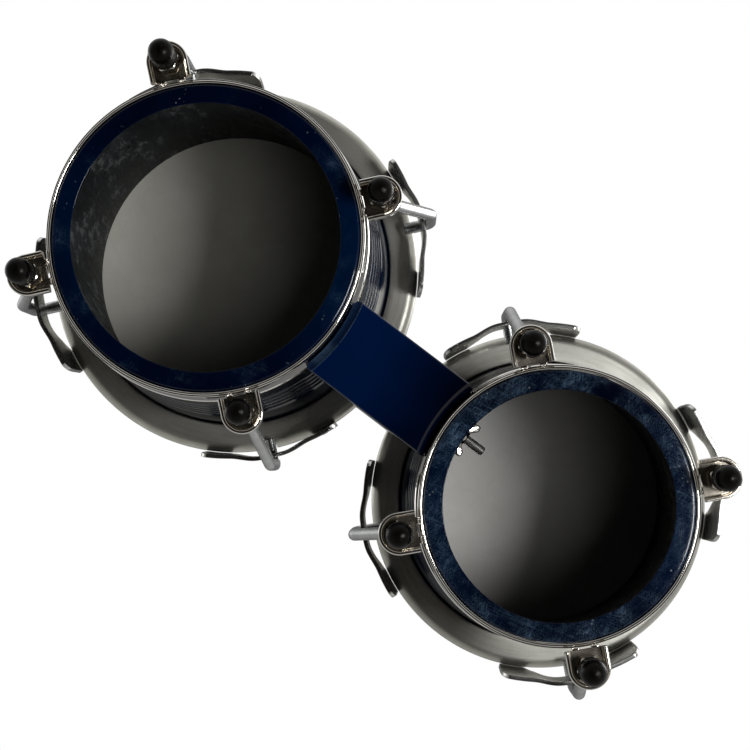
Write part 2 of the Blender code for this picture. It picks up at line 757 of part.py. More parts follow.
clear_scene()
PARTS = collection("bongos")
CUTTERS = collection("bongos_cutters")
FINISHES = {
    "lacquer": material("navy_lacquer", (0.004, 0.012, 0.045), 0.22, coat=0.6),
    "chrome": material("chrome", (0.72, 0.71, 0.69), 0.12, metallic=1.0),
    "satin": material("satin_steel", (0.42, 0.42, 0.41), 0.33, metallic=1.0),
    "steel": material("zinc_steel", (0.55, 0.55, 0.55), 0.38, metallic=1.0),
    "rubber": material("black_rubber", (0.012, 0.012, 0.012), 0.45),
    "skin": material("rawhide", (0.62, 0.60, 0.55), 0.6),
}
SHARED = {
    "ear": ear_mesh(),
    "nut": nut_mesh(),
    "hook": tube_mesh(hook_points(), ROD_DIAMETER / 2),
    "cap": turned_mesh(cap_profile(), SMALL_STEPS, closed=False),
}
for each_drum in DRUMS:
    build_drum(each_drum, FINISHES, SHARED)
build_block(FINISHES)
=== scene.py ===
"""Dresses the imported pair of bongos: finer pieces over its solids, their finishes and a plain studio.

Metres, +Z up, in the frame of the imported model: both drum axes stand on X, the larger drum at -X,
and the pair stands on its eight rod caps. Heights in a drum's sections are counted from the foot
plane, where both shells end, and a piece at a lug is drawn round its rod, with +X pointing outwards.
"""

from __future__ import annotations

import functools
import json
import logging
import math
from dataclasses import dataclass
from enum import Enum
from typing import NamedTuple, Sequence

import bmesh
import bpy
import numpy as np
from mathutils import Matrix, Vector

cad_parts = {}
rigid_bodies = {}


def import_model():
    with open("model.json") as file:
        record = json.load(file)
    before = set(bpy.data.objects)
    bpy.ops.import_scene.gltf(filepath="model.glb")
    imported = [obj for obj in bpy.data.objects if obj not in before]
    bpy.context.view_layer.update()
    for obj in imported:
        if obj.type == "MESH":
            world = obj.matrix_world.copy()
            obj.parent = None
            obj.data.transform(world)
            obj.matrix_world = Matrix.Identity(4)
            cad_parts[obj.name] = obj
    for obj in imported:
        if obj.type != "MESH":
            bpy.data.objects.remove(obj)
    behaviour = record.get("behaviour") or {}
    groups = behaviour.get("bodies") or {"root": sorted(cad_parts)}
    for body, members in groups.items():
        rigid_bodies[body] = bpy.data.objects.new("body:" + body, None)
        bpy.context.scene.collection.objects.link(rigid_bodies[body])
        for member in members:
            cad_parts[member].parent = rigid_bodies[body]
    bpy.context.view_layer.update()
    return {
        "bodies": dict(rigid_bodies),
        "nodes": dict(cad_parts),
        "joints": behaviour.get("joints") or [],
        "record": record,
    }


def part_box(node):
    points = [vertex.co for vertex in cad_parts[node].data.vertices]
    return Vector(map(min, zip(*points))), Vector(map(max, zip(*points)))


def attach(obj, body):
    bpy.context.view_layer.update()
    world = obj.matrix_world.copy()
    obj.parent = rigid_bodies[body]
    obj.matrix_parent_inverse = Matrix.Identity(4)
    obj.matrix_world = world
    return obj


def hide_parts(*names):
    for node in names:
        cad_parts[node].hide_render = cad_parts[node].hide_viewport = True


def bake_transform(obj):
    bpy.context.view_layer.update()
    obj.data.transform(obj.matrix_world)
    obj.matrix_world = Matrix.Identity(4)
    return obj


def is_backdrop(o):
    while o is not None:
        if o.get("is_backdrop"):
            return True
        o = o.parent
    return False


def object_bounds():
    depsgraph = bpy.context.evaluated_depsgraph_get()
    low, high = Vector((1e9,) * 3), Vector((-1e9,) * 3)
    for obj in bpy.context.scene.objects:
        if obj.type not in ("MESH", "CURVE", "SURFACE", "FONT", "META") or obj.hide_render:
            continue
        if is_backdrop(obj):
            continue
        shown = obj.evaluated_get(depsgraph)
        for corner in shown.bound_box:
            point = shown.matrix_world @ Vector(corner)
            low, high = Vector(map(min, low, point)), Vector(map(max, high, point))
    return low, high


LOG = logging.getLogger("bongos")
Mesh = bpy.types.Mesh
Material = bpy.types.Material
Shape = bmesh.types.BMesh
Point = tuple[float, float]
Place = tuple[float, float, float]
Colour = tuple[float, float, float]
Face = tuple[int, ...]

LUGS = range(1, 5)
ROUND_STEPS = 192
SMALL_ROUND_STEPS = 48
SMOOTH_ANGLE = math.radians(34)
BIG_X = -0.1176
MERGE = 1e-6

# Sizes that more than one sub-assembly goes by

GAP = 0.0003
SHELL_HEIGHT = 0.165
BEARING_ROUND = 0.003
SKIN = 0.001
RING_HEIGHT = 0.026
RING_SHEET = 0.0018
RING_BEAD = 0.0007
THREAD_DEPTH = 0.0005
RIDGE_SHARE = 0.96


class DrumName(Enum):
    """The two drums, as their nodes are named."""

    BIG = "big"
    SMALL = "small"


class Wear(Enum):
    """How worn a piece's lacquer is, from clean to scuffed all over."""

    CLEAN = 0.0
    LIGHT = 0.22
    HEAVY = 1.0


# Shader graphs


class Signal:
    """One shader socket, whose arithmetic adds Math nodes."""

    def __init__(self, graph: Graph, socket: bpy.types.NodeSocket) -> None:
        """Keeps the socket and the graph that it belongs to."""
        self.graph = graph
        self.socket = socket

    def __add__(self, other: Signal | float) -> Signal:
        """Self plus other."""
        return self.graph.math("ADD", self, other)

    __radd__ = __add__

    def __sub__(self, other: Signal | float) -> Signal:
        """Self less other."""
        return self.graph.math("SUBTRACT", self, other)

    def __rsub__(self, other: float) -> Signal:
        """Other less self."""
        return self.graph.math("SUBTRACT", other, self)

    def __mul__(self, other: Signal | float) -> Signal:
        """Self times other."""
        return self.graph.math("MULTIPLY", self, other)

    __rmul__ = __mul__

    def __abs__(self) -> Signal:
        """Self without its sign."""
        return self.graph.math("ABSOLUTE", self)

    def most(self, limit: float) -> Signal:
        """Self, held at a limit."""
        return self.graph.math("MINIMUM", self, limit)


class Graph:
    """The nodes of one material or world, all added through one method."""

    def __init__(self, tree: bpy.types.NodeTree) -> None:
        """Takes the node tree to add to."""
        self.tree = tree

    @staticmethod
    def pick(sockets: Sequence[bpy.types.NodeSocket], key: int | str) -> bpy.types.NodeSocket:
        """The enabled socket that has a place or a name."""
        enabled = [socket for socket in sockets if socket.enabled]
        return enabled[key] if isinstance(key, int) else next(s for s in enabled if s.name == key)

    def add(
        self,
        kind: str,
        settings: dict[str, object] | None = None,
        inputs: dict[int | str, object] | None = None,
        output: int | str = 0,
    ) -> Signal:
        """Adds a node.

        Args:
            kind: The node's type.
            settings: Values set on the node itself, before its sockets.
            inputs: A value, or a Signal to link, for each socket, by its place or name.
            output: The place or name of the socket that is given back.

        Returns:
            The chosen output.
        """
        node = self.tree.nodes.new(kind)
        for name, value in (settings or {}).items():
            setattr(node, name, value)
        for key, value in (inputs or {}).items():
            self.feed(self.pick(node.inputs, key), value)
        return Signal(self, self.pick(node.outputs, output))

    def feed(self, socket: bpy.types.NodeSocket, value: object) -> None:
        """Links a Signal to a socket, or sets the socket's own value.

        Args:
            socket: The socket to feed.
            value: A Signal, a number, a vector, or a colour without its alpha.
        """
        if isinstance(value, Signal):
            self.tree.links.new(value.socket, socket)
        elif socket.type == "RGBA" and len(value) == 3:
            socket.default_value = (*value, 1)
        else:
            socket.default_value = value

    def math(self, operation: str, *values: Signal | float) -> Signal:
        """One Math node on these values."""
        return self.add("ShaderNodeMath", {"operation": operation}, dict(enumerate(values)))

    def vector_math(self, operation: str, *values: Signal | Place) -> Signal:
        """One Vector Math node on these values."""
        return self.add("ShaderNodeVectorMath", {"operation": operation}, dict(enumerate(values)))

    def noise(self, vector: Signal, scale: float, detail: float = 4, roughness: float = 0.55) -> Signal:
        """Smooth noise between 0 and 1 at a vector."""
        values = {"Vector": vector, "Scale": scale, "Detail": detail, "Roughness": roughness}
        return self.add("ShaderNodeTexNoise", None, values)

    def step(self, value: Signal, low: float, high: float) -> Signal:
        """A smooth step from 0 at low to 1 at high."""
        settings = {"interpolation_type": "SMOOTHSTEP"}
        return self.add("ShaderNodeMapRange", settings, {"Value": value, "From Min": low, "From Max": high})

    def cells(self, vector: Signal, scale: float) -> Signal:
        """How far a vector is from the nearest of many scattered points."""
        return self.add("ShaderNodeTexVoronoi", None, {"Vector": vector, "Scale": scale})

    def mix(self, factor: Signal | float, first: Colour | Signal, second: Colour | Signal) -> Signal:
        """A colour between two, by a factor."""
        settings = {"data_type": "RGBA"}
        return self.add("ShaderNodeMix", settings, {"Factor": factor, "A": first, "B": second})

    def bump(self, height: Signal, distance: float, strength: float) -> Signal:
        """A normal that leans with the slope of a height."""
        inputs = {"Height": height, "Distance": distance, "Strength": strength}
        return self.add("ShaderNodeBump", None, inputs)

    def place(self, centre: Sequence[float] = (0, 0, 0), scale: Sequence[float] = (1, 1, 1)) -> Signal:
        """Object coordinates counted from a centre.

        Args:
            centre: Where they are 0.
            scale: What they are then multiplied by.

        Returns:
            The vector.
        """
        here = self.add("ShaderNodeTexCoord", None, None, "Object")
        shift = tuple(-c * s for c, s in zip(centre, scale))
        return self.add("ShaderNodeMapping", None, {"Vector": here, "Location": shift, "Scale": tuple(scale)})

    def split(self, vector: Signal) -> tuple[Signal, Signal, Signal]:
        """The three numbers of a vector."""
        node = self.add("ShaderNodeSeparateXYZ", None, {0: vector}).socket.node
        return tuple(Signal(self, output) for output in node.outputs)

    def flat(self, vector: Signal) -> Signal:
        """A vector without its height."""
        return self.vector_math("MULTIPLY", vector, (1, 1, 0))

    def radius(self, vector: Signal) -> Signal:
        """Distance of a place from the Z axis through its centre."""
        return self.vector_math("LENGTH", self.flat(vector))

    def direction(self, vector: Signal) -> tuple[Signal, Signal]:
        """The way from the Z axis to a place, as its shares along X and Y."""
        east, north, _ = self.split(self.vector_math("NORMALIZE", self.flat(vector)))
        return east, north

    def round_the_axis(self, vector: Signal, across: float, along: float) -> Signal:
        """A vector that changes slowly round the Z axis and fast across it, for turned and brushed streaks.

        Args:
            vector: A place counted from the axis.
            across: How fast it changes with radius and height, per metre.
            along: How fast it changes round the axis.

        Returns:
            The vector for a noise of scale 1.
        """
        _, _, height = self.split(vector)
        east, north = self.direction(vector)
        upwards = across * 0.83
        fast = self.radius(vector) * across + height * upwards
        return self.add("ShaderNodeCombineXYZ", None, {0: east * along, 1: north * along, 2: fast})

    def scratches(self, vector: Signal, angle: float, scale: float, width: float) -> Signal:
        """Thin wandering lines in one direction, 1 on a line.

        Args:
            vector: A place.
            angle: The lines' direction round Z, in degrees.
            scale: Lines per metre, roughly.
            width: How wide a line is, as a share of its noise.

        Returns:
            A mask.
        """
        turn = (0.0, 0.0, math.radians(angle))
        across = self.add("ShaderNodeMapping", None, {"Vector": vector, "Rotation": turn})
        drawn = self.add("ShaderNodeMapping", None, {"Vector": across, "Scale": (0.06, 1.0, 1.0)})
        hair = self.noise(drawn, scale, 2, 0.5)
        return 1 - self.step(abs(hair - 0.5), 0.0, width)


def new_material(name: str) -> tuple[Material, Graph, bpy.types.Node]:
    """A material with its graph and its Principled node.

    Args:
        name: The material's name.

    Returns:
        The material, its graph and its shader.
    """
    made = bpy.data.materials.new(name)
    made.use_nodes = True
    return made, Graph(made.node_tree), made.node_tree.nodes["Principled BSDF"]


# Finishes


class Look(NamedTuple):
    """What a finish feeds its shader: a value or a Signal for each socket, and a relief for its normal."""

    sockets: dict[str, object]
    relief: Signal
    depth: float
    lean: float


@dataclass(frozen=True)
class Finish:
    """A finish with a name, which makes one material for each centre."""

    name: str

    def look(self, graph: Graph, centre: Place) -> Look:
        """What the finish feeds its shader, which each kind of finish says for itself."""
        raise NotImplementedError

    @functools.cache
    def material(self, centre: Place = (0, 0, 0)) -> Material:
        """The finish as a material.

        Args:
            centre: A point on the axis that its marks run round.

        Returns:
            The material.
        """
        made, graph, shader = new_material(self.name)
        look = self.look(graph, centre)
        for name, value in look.sockets.items():
            graph.feed(shader.inputs[name], value)
        graph.feed(shader.inputs["Normal"], graph.bump(look.relief, look.depth, look.lean))
        return made


@dataclass(frozen=True)
class Lacquer(Finish):
    """Navy gloss lacquer on wood, with scuffs, specks, painted sheen and shade in its navy, and a strip of
    painted sheen on the block.
    """

    wear: Wear = Wear.LIGHT
    # deep and bright end the navy's tone, which mixes random clouds with painted light: deep is also its
    # painted shade, bright its painted sheen.
    deep_and_shaded: Colour = (0.0002, 0.0020, 0.0125)
    bright: Colour = (0.0003, 0.0094, 0.0380)
    # The scuff colour is also painted as sheen in the block's strip.
    scuff_and_sheen: Colour = (0.095, 0.165, 0.255)
    speck: Colour = (0.32, 0.36, 0.38)
    gloss: float = 0.10
    coat: float = 0.30
    coat_roughness: float = 0.05
    specular: float = 0.25
    # Turn of the two opposite quarters that get painted sheen.
    painted_sheen_turn: float = math.radians(37)
    # Where along X the block's navy fades by painted shade.
    painted_shade_span: Point | None = None
    # Radius from the larger drum's axis where the block's strip of painted sheen ends.
    strip: float = 0.0
    inner_edge: float = 0.0

    def tone(self, graph: Graph, place: Signal) -> Signal:
        """How bright the navy is, by painted light: painted sheen in two opposite quarters of a turned face,
        or painted shade fading along a block, each over random clouds.

        Args:
            graph: The material's graph.
            place: A place counted from the piece's centre.

        Returns:
            The tone, from 0 to 1.
        """
        cloud = graph.step(graph.noise(place, 20, 5, 0.6), 0.32, 0.70)
        if self.painted_shade_span:
            x, _, _ = graph.split(place)
            # Painted shade: the navy darkens along X, over random clouds.
            return 1 - graph.step(x, *self.painted_shade_span) * 0.85 - 0.15 * cloud
        turn = {"Vector": place, "Rotation": (0.0, 0.0, self.painted_sheen_turn)}
        east, _ = graph.direction(graph.add("ShaderNodeMapping", None, turn))
        # Painted sheen: two opposite quarters round the axis are lighter, over random clouds.
        return graph.step(east * east, 0.25, 1.0) * 0.58 + cloud * 0.42

    def marks(self, graph: Graph, place: Signal) -> Signal:
        """Where the lacquer is scuffed: fine crossing scratches, in patches.

        Args:
            graph: The material's graph.
            place: A place counted from the piece's centre.

        Returns:
            A mask.
        """
        worn = self.wear.value
        patch = graph.step(graph.noise(place, 34, 5, 0.60), 0.56 - 0.24 * worn, 0.76 - 0.06 * worn)
        fine = graph.scratches(place, 64, 1050, 0.050) + graph.scratches(place, 122, 900, 0.045)
        long = graph.scratches(place, 15, 330, 0.014) + graph.scratches(place, 92, 410, 0.014)
        here = graph.step(graph.noise(place, 90, 3, 0.6), 0.42, 0.62)
        dull = graph.step(graph.noise(place, 1400, 3, 0.7), 0.45, 0.64)
        rubbed = (fine * 0.48 * here + long * 0.46 + dull * 0.38).most(1.0)
        if self.inner_edge:
            ragged = graph.radius(place) + (graph.noise(place, 240, 4) - 0.5) * 0.006
            patch = patch * graph.step(ragged, self.inner_edge - 0.0006, self.inner_edge + 0.0010)
        return patch * rubbed * (0.80 * worn**0.5)

    def specks(self, graph: Graph, place: Signal) -> Signal:
        """Where pale specks lie in the lacquer, in crowds.

        Args:
            graph: The material's graph.
            place: A place counted from the piece's centre.

        Returns:
            A mask.
        """
        crowd = graph.step(graph.noise(place, 45, 3), 0.54 - 0.05 * self.wear.value, 0.68)
        return (1 - graph.step(graph.cells(place, 260.0), 0.08, 0.17)) * crowd

    def painted_sheen_strip(self, graph: Graph, place: Signal) -> Signal:
        """How much painted sheen the block has in the strip beside the larger drum's ring, and the painted
        highlight of the line that ends it.

        Args:
            graph: The material's graph.
            place: A place counted from the block's centre.

        Returns:
            A mask.
        """
        soft_edge = 0.0006
        line_width = 0.0004
        away = graph.radius(graph.place((BIG_X, 0, 0)))
        _, along, height = graph.split(place)
        strip = 1 - graph.step(away, self.strip - soft_edge, self.strip)
        # A brighter patch of painted sheen along part of the strip.
        rubbed = graph.step(along, 0.002, 0.008) * (1 - graph.step(along, 0.016, 0.021))
        rubbed = rubbed * graph.step(graph.noise(place, 300, 4, 0.6), 0.20, 0.50)
        broken = graph.step(graph.noise(place, 700, 2), 0.30, 0.52)
        # Painted highlight along the strip's outer edge.
        line = (1 - graph.step(abs(away - self.strip), 0.0, line_width)) * broken
        # Painted light: the strip is lighter higher up.
        upper = graph.step(height, 0.0045, 0.0085)
        return strip * (0.07 + 0.30 * rubbed + 0.12 * upper) + line * 0.45

    def look(self, graph: Graph, centre: Place) -> Look:
        """The lacquer: its navy with painted sheen and shade, then scuffs, specks and the strip of painted
        sheen over that.

        Args:
            graph: The material's graph.
            centre: A point on the axis that its turned marks run round.

        Returns:
            What feeds the shader.
        """
        place = graph.place(centre)
        marks = self.marks(graph, place)
        specks = self.specks(graph, place)
        colour = graph.mix(marks, graph.mix(self.tone(graph, place), self.deep_and_shaded, self.bright), self.scuff_and_sheen)
        colour = graph.mix(specks * (0.6 * self.wear.value**0.25), colour, self.speck)
        # The block's strip of painted sheen, with its painted highlight line.
        if self.strip:
            colour = graph.mix(self.painted_sheen_strip(graph, place), colour, self.scuff_and_sheen)
        grain = graph.noise(graph.place(centre, (1, 1, 0.05)), 520, 3, 0.6)
        sockets = {
            "Base Color": colour,
            "Roughness": self.gloss + marks * 0.30,
            "Coat Weight": self.coat * (1 - 0.9 * marks),
            "Coat Roughness": self.coat_roughness,
            "Specular IOR Level": self.specular,
        }
        return Look(sockets, grain * 0.3 - marks * 0.4 + specks * 0.6, 0.00004, 0.5)


@dataclass(frozen=True)
class SlateWall(Finish):
    """The unpolished stained wood inside a shell, mottled and dusty."""

    name: str = "slate_stained_wood"
    dark: Colour = (0.0050, 0.0060, 0.0074)
    light: Colour = (0.0300, 0.0345, 0.0370)
    dust: Colour = (0.1250, 0.1330, 0.1300)
    specular: float = 0.12

    def look(self, graph: Graph, centre: Place) -> Look:
        """The inner wall, whose grain runs up the shell.

        Args:
            graph: The material's graph.
            centre: A point on the drum's axis.

        Returns:
            What feeds the shader.
        """
        drawn = graph.place(centre, (1, 1, 0.25))
        blot = graph.noise(drawn, 38, 6, 0.68)
        grain = graph.noise(graph.place(centre, (1, 1, 0.07)), 260, 5, 0.62)
        tone = graph.step(blot * 0.60 + grain * 0.40, 0.40, 0.60)
        dust = graph.step(graph.noise(drawn, 190, 6, 0.80), 0.48, 0.58) * graph.step(blot, 0.46, 0.56)
        sockets = {
            "Base Color": graph.mix(dust * 0.80, graph.mix(tone, self.dark, self.light), self.dust),
            "Roughness": 0.50 + 0.25 * tone,
            "Specular IOR Level": self.specular,
        }
        return Look(sockets, grain * 0.7 + blot * 0.5, 0.00025, 0.7)


@dataclass(frozen=True)
class Chrome(Finish):
    """Bright plating with faint polishing marks, smudges and a few dark pits."""

    name: str = "chrome_plate"
    bright: Colour = (0.78, 0.755, 0.715)
    tarnish: Colour = (0.36, 0.30, 0.245)
    polish: float = 0.04

    def look(self, graph: Graph, centre: Place) -> Look:
        """The plating, polished round its centre.

        Args:
            graph: The material's graph.
            centre: A point on the axis that it is polished round.

        Returns:
            What feeds the shader.
        """
        place = graph.place(centre)
        smudge = graph.step(graph.noise(place, 85, 5, 0.62), 0.45, 0.75)
        stain = graph.step(graph.noise(place, 46, 6, 0.7), 0.60, 0.76)
        crowd = graph.step(graph.noise(place, 130, 3), 0.58, 0.70)
        pit = (1 - graph.step(graph.cells(place, 620.0), 0.05, 0.12)) * crowd
        swirl = graph.noise(graph.round_the_axis(place, 2600, 14), 1, 2, 0.5)
        sockets = {
            "Base Color": graph.mix(stain * 0.45 + pit * 0.2, self.bright, self.tarnish),
            "Metallic": 1.0,
            "Roughness": self.polish + smudge * 0.06 + swirl * 0.03 + pit * 0.12,
        }
        return Look(sockets, swirl * 0.25 - pit * 0.3 + graph.noise(place, 60, 2) * 1.5, 0.00004, 0.35)


@dataclass(frozen=True)
class BrushedSteel(Finish):
    """Satin steel, brushed round the drum's axis and a little blotched."""

    name: str = "satin_steel"
    bright: Colour = (0.64, 0.632, 0.575)
    dull: Colour = (0.45, 0.443, 0.395)
    satin: float = 0.30

    def look(self, graph: Graph, centre: Place) -> Look:
        """The steel, brushed round its centre.

        Args:
            graph: The material's graph.
            centre: A point on the axis that it is brushed round.

        Returns:
            What feeds the shader.
        """
        place = graph.place(centre)
        fine = graph.noise(graph.round_the_axis(place, 3600, 5), 1, 3, 0.6)
        broad = graph.noise(graph.round_the_axis(place, 420, 3), 1, 2, 0.5)
        blotch = graph.noise(place, 30, 6, 0.65)
        grit = graph.noise(place, 900, 3, 0.7)
        tone = graph.step(blotch * 0.5 + broad * 0.3 + fine * 0.2, 0.36, 0.62)
        sockets = {
            "Base Color": graph.mix(tone, self.dull, self.bright),
            "Metallic": 1.0,
            "Roughness": self.satin + 0.16 * fine + 0.10 * (1 - tone),
        }
        return Look(sockets, fine + grit * 0.5 + blotch * 2.0, 0.00005, 0.55)


@dataclass(frozen=True)
class PlatedRod(Finish):
    """Plain zinc plating on rods and the bolt: pale, even and slightly cloudy."""

    name: str = "zinc_plated_rod"
    pale: Colour = (0.50, 0.51, 0.505)
    grey: Colour = (0.42, 0.43, 0.425)
    sheen: float = 0.20
    spot: Colour = (0.30, 0.28, 0.25)

    def look(self, graph: Graph, centre: Place) -> Look:
        """The plating, drawn along the rod.

        Args:
            graph: The material's graph.
            centre: Where its marks are counted from.

        Returns:
            What feeds the shader.
        """
        place = graph.place(centre)
        cloud = graph.noise(place, 110, 5, 0.6)
        drawn = graph.noise(graph.place(centre, (1, 1, 0.08)), 1500, 3, 0.6)
        spots = graph.step(graph.noise(place, 420, 4, 0.7), 0.64, 0.78)
        colour = graph.mix(graph.step(cloud, 0.35, 0.68), self.grey, self.pale)
        sockets = {
            "Base Color": graph.mix(spots * 0.5, colour, self.spot),
            "Metallic": 1.0,
            "Roughness": self.sheen + 0.08 * cloud + 0.06 * drawn,
        }
        return Look(sockets, drawn + spots, 0.00004, 0.45)


@dataclass(frozen=True)
class Rubber(Finish):
    """Black moulded rubber, with a fine grain and pale rubbed places."""

    name: str = "black_moulded_rubber"
    black: Colour = (0.0030, 0.0026, 0.0023)
    rubbed: Colour = (0.0090, 0.0078, 0.0068)
    specular: float = 0.09

    def look(self, graph: Graph, centre: Place) -> Look:
        """The rubber.

        Args:
            graph: The material's graph.
            centre: Where its marks are counted from.

        Returns:
            What feeds the shader.
        """
        place = graph.place(centre)
        rub = graph.step(graph.noise(place, 260, 5, 0.7), 0.48, 0.72)
        grain = graph.noise(place, 2600, 3, 0.6)
        sockets = {
            "Base Color": graph.mix(rub, self.black, self.rubbed),
            "Roughness": 0.24 + 0.10 * rub + 0.05 * grain,
            "Specular IOR Level": self.specular,
        }
        return Look(sockets, grain, 0.00008, 0.5)


@dataclass(frozen=True)
class Rawhide(Finish):
    """Stretched skin: cloudy, with faint veins, pores and darker hair roots."""

    name: str = "stretched_rawhide"
    pale: Colour = (0.70, 0.69, 0.62)
    warm: Colour = (0.60, 0.585, 0.52)
    root: Colour = (0.26, 0.23, 0.20)

    def look(self, graph: Graph, centre: Place) -> Look:
        """The skin.

        Args:
            graph: The material's graph.
            centre: Where its marks are counted from.

        Returns:
            What feeds the shader.
        """
        place = graph.place(centre)
        cloud = graph.noise(place, 16, 6, 0.58)
        colour = graph.mix(graph.step(cloud, 0.34, 0.68), self.warm, self.pale)
        vein = 1 - graph.step(abs(graph.noise(place, 26, 4, 0.55) - 0.5), 0.0, 0.022)
        crowd = graph.step(graph.noise(place, 40, 4), 0.46, 0.66)
        roots = (1 - graph.step(graph.cells(place, 760.0), 0.08, 0.22)) * crowd
        fleck = graph.step(graph.noise(place, 210, 5, 0.7), 0.66, 0.78)
        sockets = {
            "Base Color": graph.mix(vein * 0.05 + roots * 0.30 + fleck * 0.15, colour, self.root),
            "Roughness": 0.50 + 0.18 * cloud,
        }
        relief = cloud * 1.5 + graph.noise(place, 500, 4, 0.7) * 0.5 - roots * 0.6
        return Look(sockets, relief, 0.00012, 0.5)


# Ways of drawing and making a piece


def arc(centre: Point, radius: float, start: float, end: float, steps: int = 8) -> list[Point]:
    """Points on an arc, between two angles in degrees from +X."""
    angles = [math.radians(start + (end - start) * i / steps) for i in range(steps + 1)]
    return [(centre[0] + radius * math.cos(a), centre[1] + radius * math.sin(a)) for a in angles]


def rounded_path(corners: Sequence[Point], radii: Sequence[float], steps: int = 10) -> list[Point]:
    """A path through corners, each inner one rounded by an arc of its own radius.

    Args:
        corners: The path's ends and corners.
        radii: One radius for each inner corner.
        steps: Steps in each arc.

    Returns:
        The path's points.
    """
    path = [corners[0]]
    for i, radius in enumerate(radii, 1):
        here = Vector(corners[i])
        back = (Vector(corners[i - 1]) - here).normalized()
        ahead = (Vector(corners[i + 1]) - here).normalized()
        half = back.angle(ahead) / 2
        middle = here + (back + ahead).normalized() * radius / math.sin(half)
        first = (here + back * radius / math.tan(half) - middle).normalized()
        last = (here + ahead * radius / math.tan(half) - middle).normalized()
        path += [tuple(middle + first.slerp(last, k / steps) * radius) for k in range(steps + 1)]
    path.append(corners[-1])
    return path


def sheet_section(path: Sequence[Point], thickness: float, steps: int = 6) -> list[Point]:
    """The closed section of a sheet bent along a path, with both ends rounded over.

    Args:
        path: The middle of the sheet, from one end to the other.
        thickness: The sheet's thickness.
        steps: Steps in each rounded end.

    Returns:
        The section's outline.
    """
    middle = np.array(path)
    lean = np.gradient(middle, axis=0)
    lean /= np.linalg.norm(lean, axis=1)[:, None]
    half = thickness / 2
    middle[0] += lean[0] * half
    middle[-1] -= lean[-1] * half
    side = np.stack([-lean[:, 1], lean[:, 0]], axis=1) * half
    section = [tuple(p) for p in middle + side]
    turn = math.degrees(math.atan2(lean[-1][1], lean[-1][0]))
    section += arc(tuple(middle[-1]), half, turn + 90, turn - 90, steps)[1:-1]
    section += [tuple(p) for p in (middle - side)[::-1]]
    turn = math.degrees(math.atan2(lean[0][1], lean[0][0]))
    section += arc(tuple(middle[0]), half, turn - 90, turn - 270, steps)[1:-1]
    return section


def swell(share: float) -> float:
    """A smooth hill: 1 at 0, falling to 0 at -1 and at 1."""
    return 0.5 + 0.5 * math.cos(math.pi * share)


def strips(rings: int, count: int, joined_ends: bool, closed: bool) -> list[Face]:
    """The four-sided faces between neighbouring rings of points.

    Args:
        rings: How many rings there are, one after another.
        count: How many points each has.
        joined_ends: Whether the last ring joins the first.
        closed: Whether the last point of a ring joins its first.

    Returns:
        The faces.
    """
    faces = []
    for i in range(rings if joined_ends else rings - 1):
        here, there = i * count, (i + 1) % rings * count
        for j in range(count if closed else count - 1):
            k = (j + 1) % count
            faces.append((here + j, here + k, there + k, there + j))
    return faces


def new_mesh(
    name: str, points: Sequence[Sequence[float]], edges: Sequence[Face], faces: Sequence[Face]
) -> Mesh:
    """A mesh of points, edges and faces.

    Args:
        name: The mesh's name.
        points: Its points.
        edges: Its loose edges.
        faces: Its faces.

    Returns:
        The mesh.
    """
    mesh = bpy.data.meshes.new(name)
    mesh.from_pydata(points, edges, faces)
    return mesh


def to_shape(*meshes: Mesh) -> Shape:
    """One or more meshes as one shape to work on.

    Args:
        *meshes: The meshes, which stay as they are.

    Returns:
        The shape.
    """
    shape = bmesh.new()
    for mesh in meshes:
        shape.from_mesh(mesh)
    return shape


def from_shape(name: str, shape: Shape) -> Mesh:
    """A mesh of a worked shape, which is freed.

    Args:
        name: The mesh's name.
        shape: The shape.

    Returns:
        The mesh.
    """
    mesh = bpy.data.meshes.new(name)
    shape.to_mesh(mesh)
    shape.free()
    return mesh


def round_edges(shape: Shape, edges: Sequence[bmesh.types.BMEdge], radius: float, steps: int) -> None:
    """Rounds some edges of a shape."""
    bmesh.ops.bevel(shape, geom=edges, offset=radius, segments=steps, affect="EDGES", profile=0.5)


def clean(mesh: Mesh) -> Mesh:
    """Merges a mesh's doubles, turns its faces outwards and smooths it between its sharp edges.

    Args:
        mesh: The mesh, which is changed.

    Returns:
        The same mesh.
    """
    shape = to_shape(mesh)
    bmesh.ops.remove_doubles(shape, verts=shape.verts, dist=MERGE)
    bmesh.ops.recalc_face_normals(shape, faces=shape.faces)
    shape.to_mesh(mesh)
    shape.free()
    mesh.shade_smooth()
    mesh.set_sharp_from_angle(angle=SMOOTH_ANGLE)
    return mesh


def turned(
    profile: Sequence[Point],
    steps: int = ROUND_STEPS,
    closed: bool = True,
    slots: Sequence[int] | None = None,
) -> Mesh:
    """Turns a profile round Z.

    Args:
        profile: (radius, height) points. An open profile starts and ends on the axis.
        steps: Steps round the axis.
        closed: Whether the last point joins the first.
        slots: The finish of each step along the profile, as a material's place.

    Returns:
        The mesh.
    """
    turn = np.linspace(0, math.tau, steps, endpoint=False)
    line = np.array(profile)
    east = np.outer(np.cos(turn), line[:, 0])
    north = np.outer(np.sin(turn), line[:, 0])
    height = np.tile(line[:, 1], (steps, 1))
    points = np.stack([east, north, height], axis=-1).reshape(-1, 3).tolist()
    mesh = new_mesh("turned", points, [], strips(steps, len(profile), True, closed))
    if slots:
        mesh.polygons.foreach_set("material_index", np.tile(np.array(slots, np.int32), steps))
    return clean(mesh)


def skinned(loops: Sequence[Sequence[Place]], capped: bool = False) -> Mesh:
    """Skins loops of equal length, one after another.

    Args:
        loops: The loops.
        capped: Whether both ends are closed by a face. If not, the last loop joins the first.

    Returns:
        The mesh.
    """
    count = len(loops[0])
    points = [point for loop in loops for point in loop]
    ends = [tuple(range(count)), tuple(range(len(points) - count, len(points)))] if capped else []
    return clean(new_mesh("skinned", points, [], ends + strips(len(loops), count, not capped, True)))


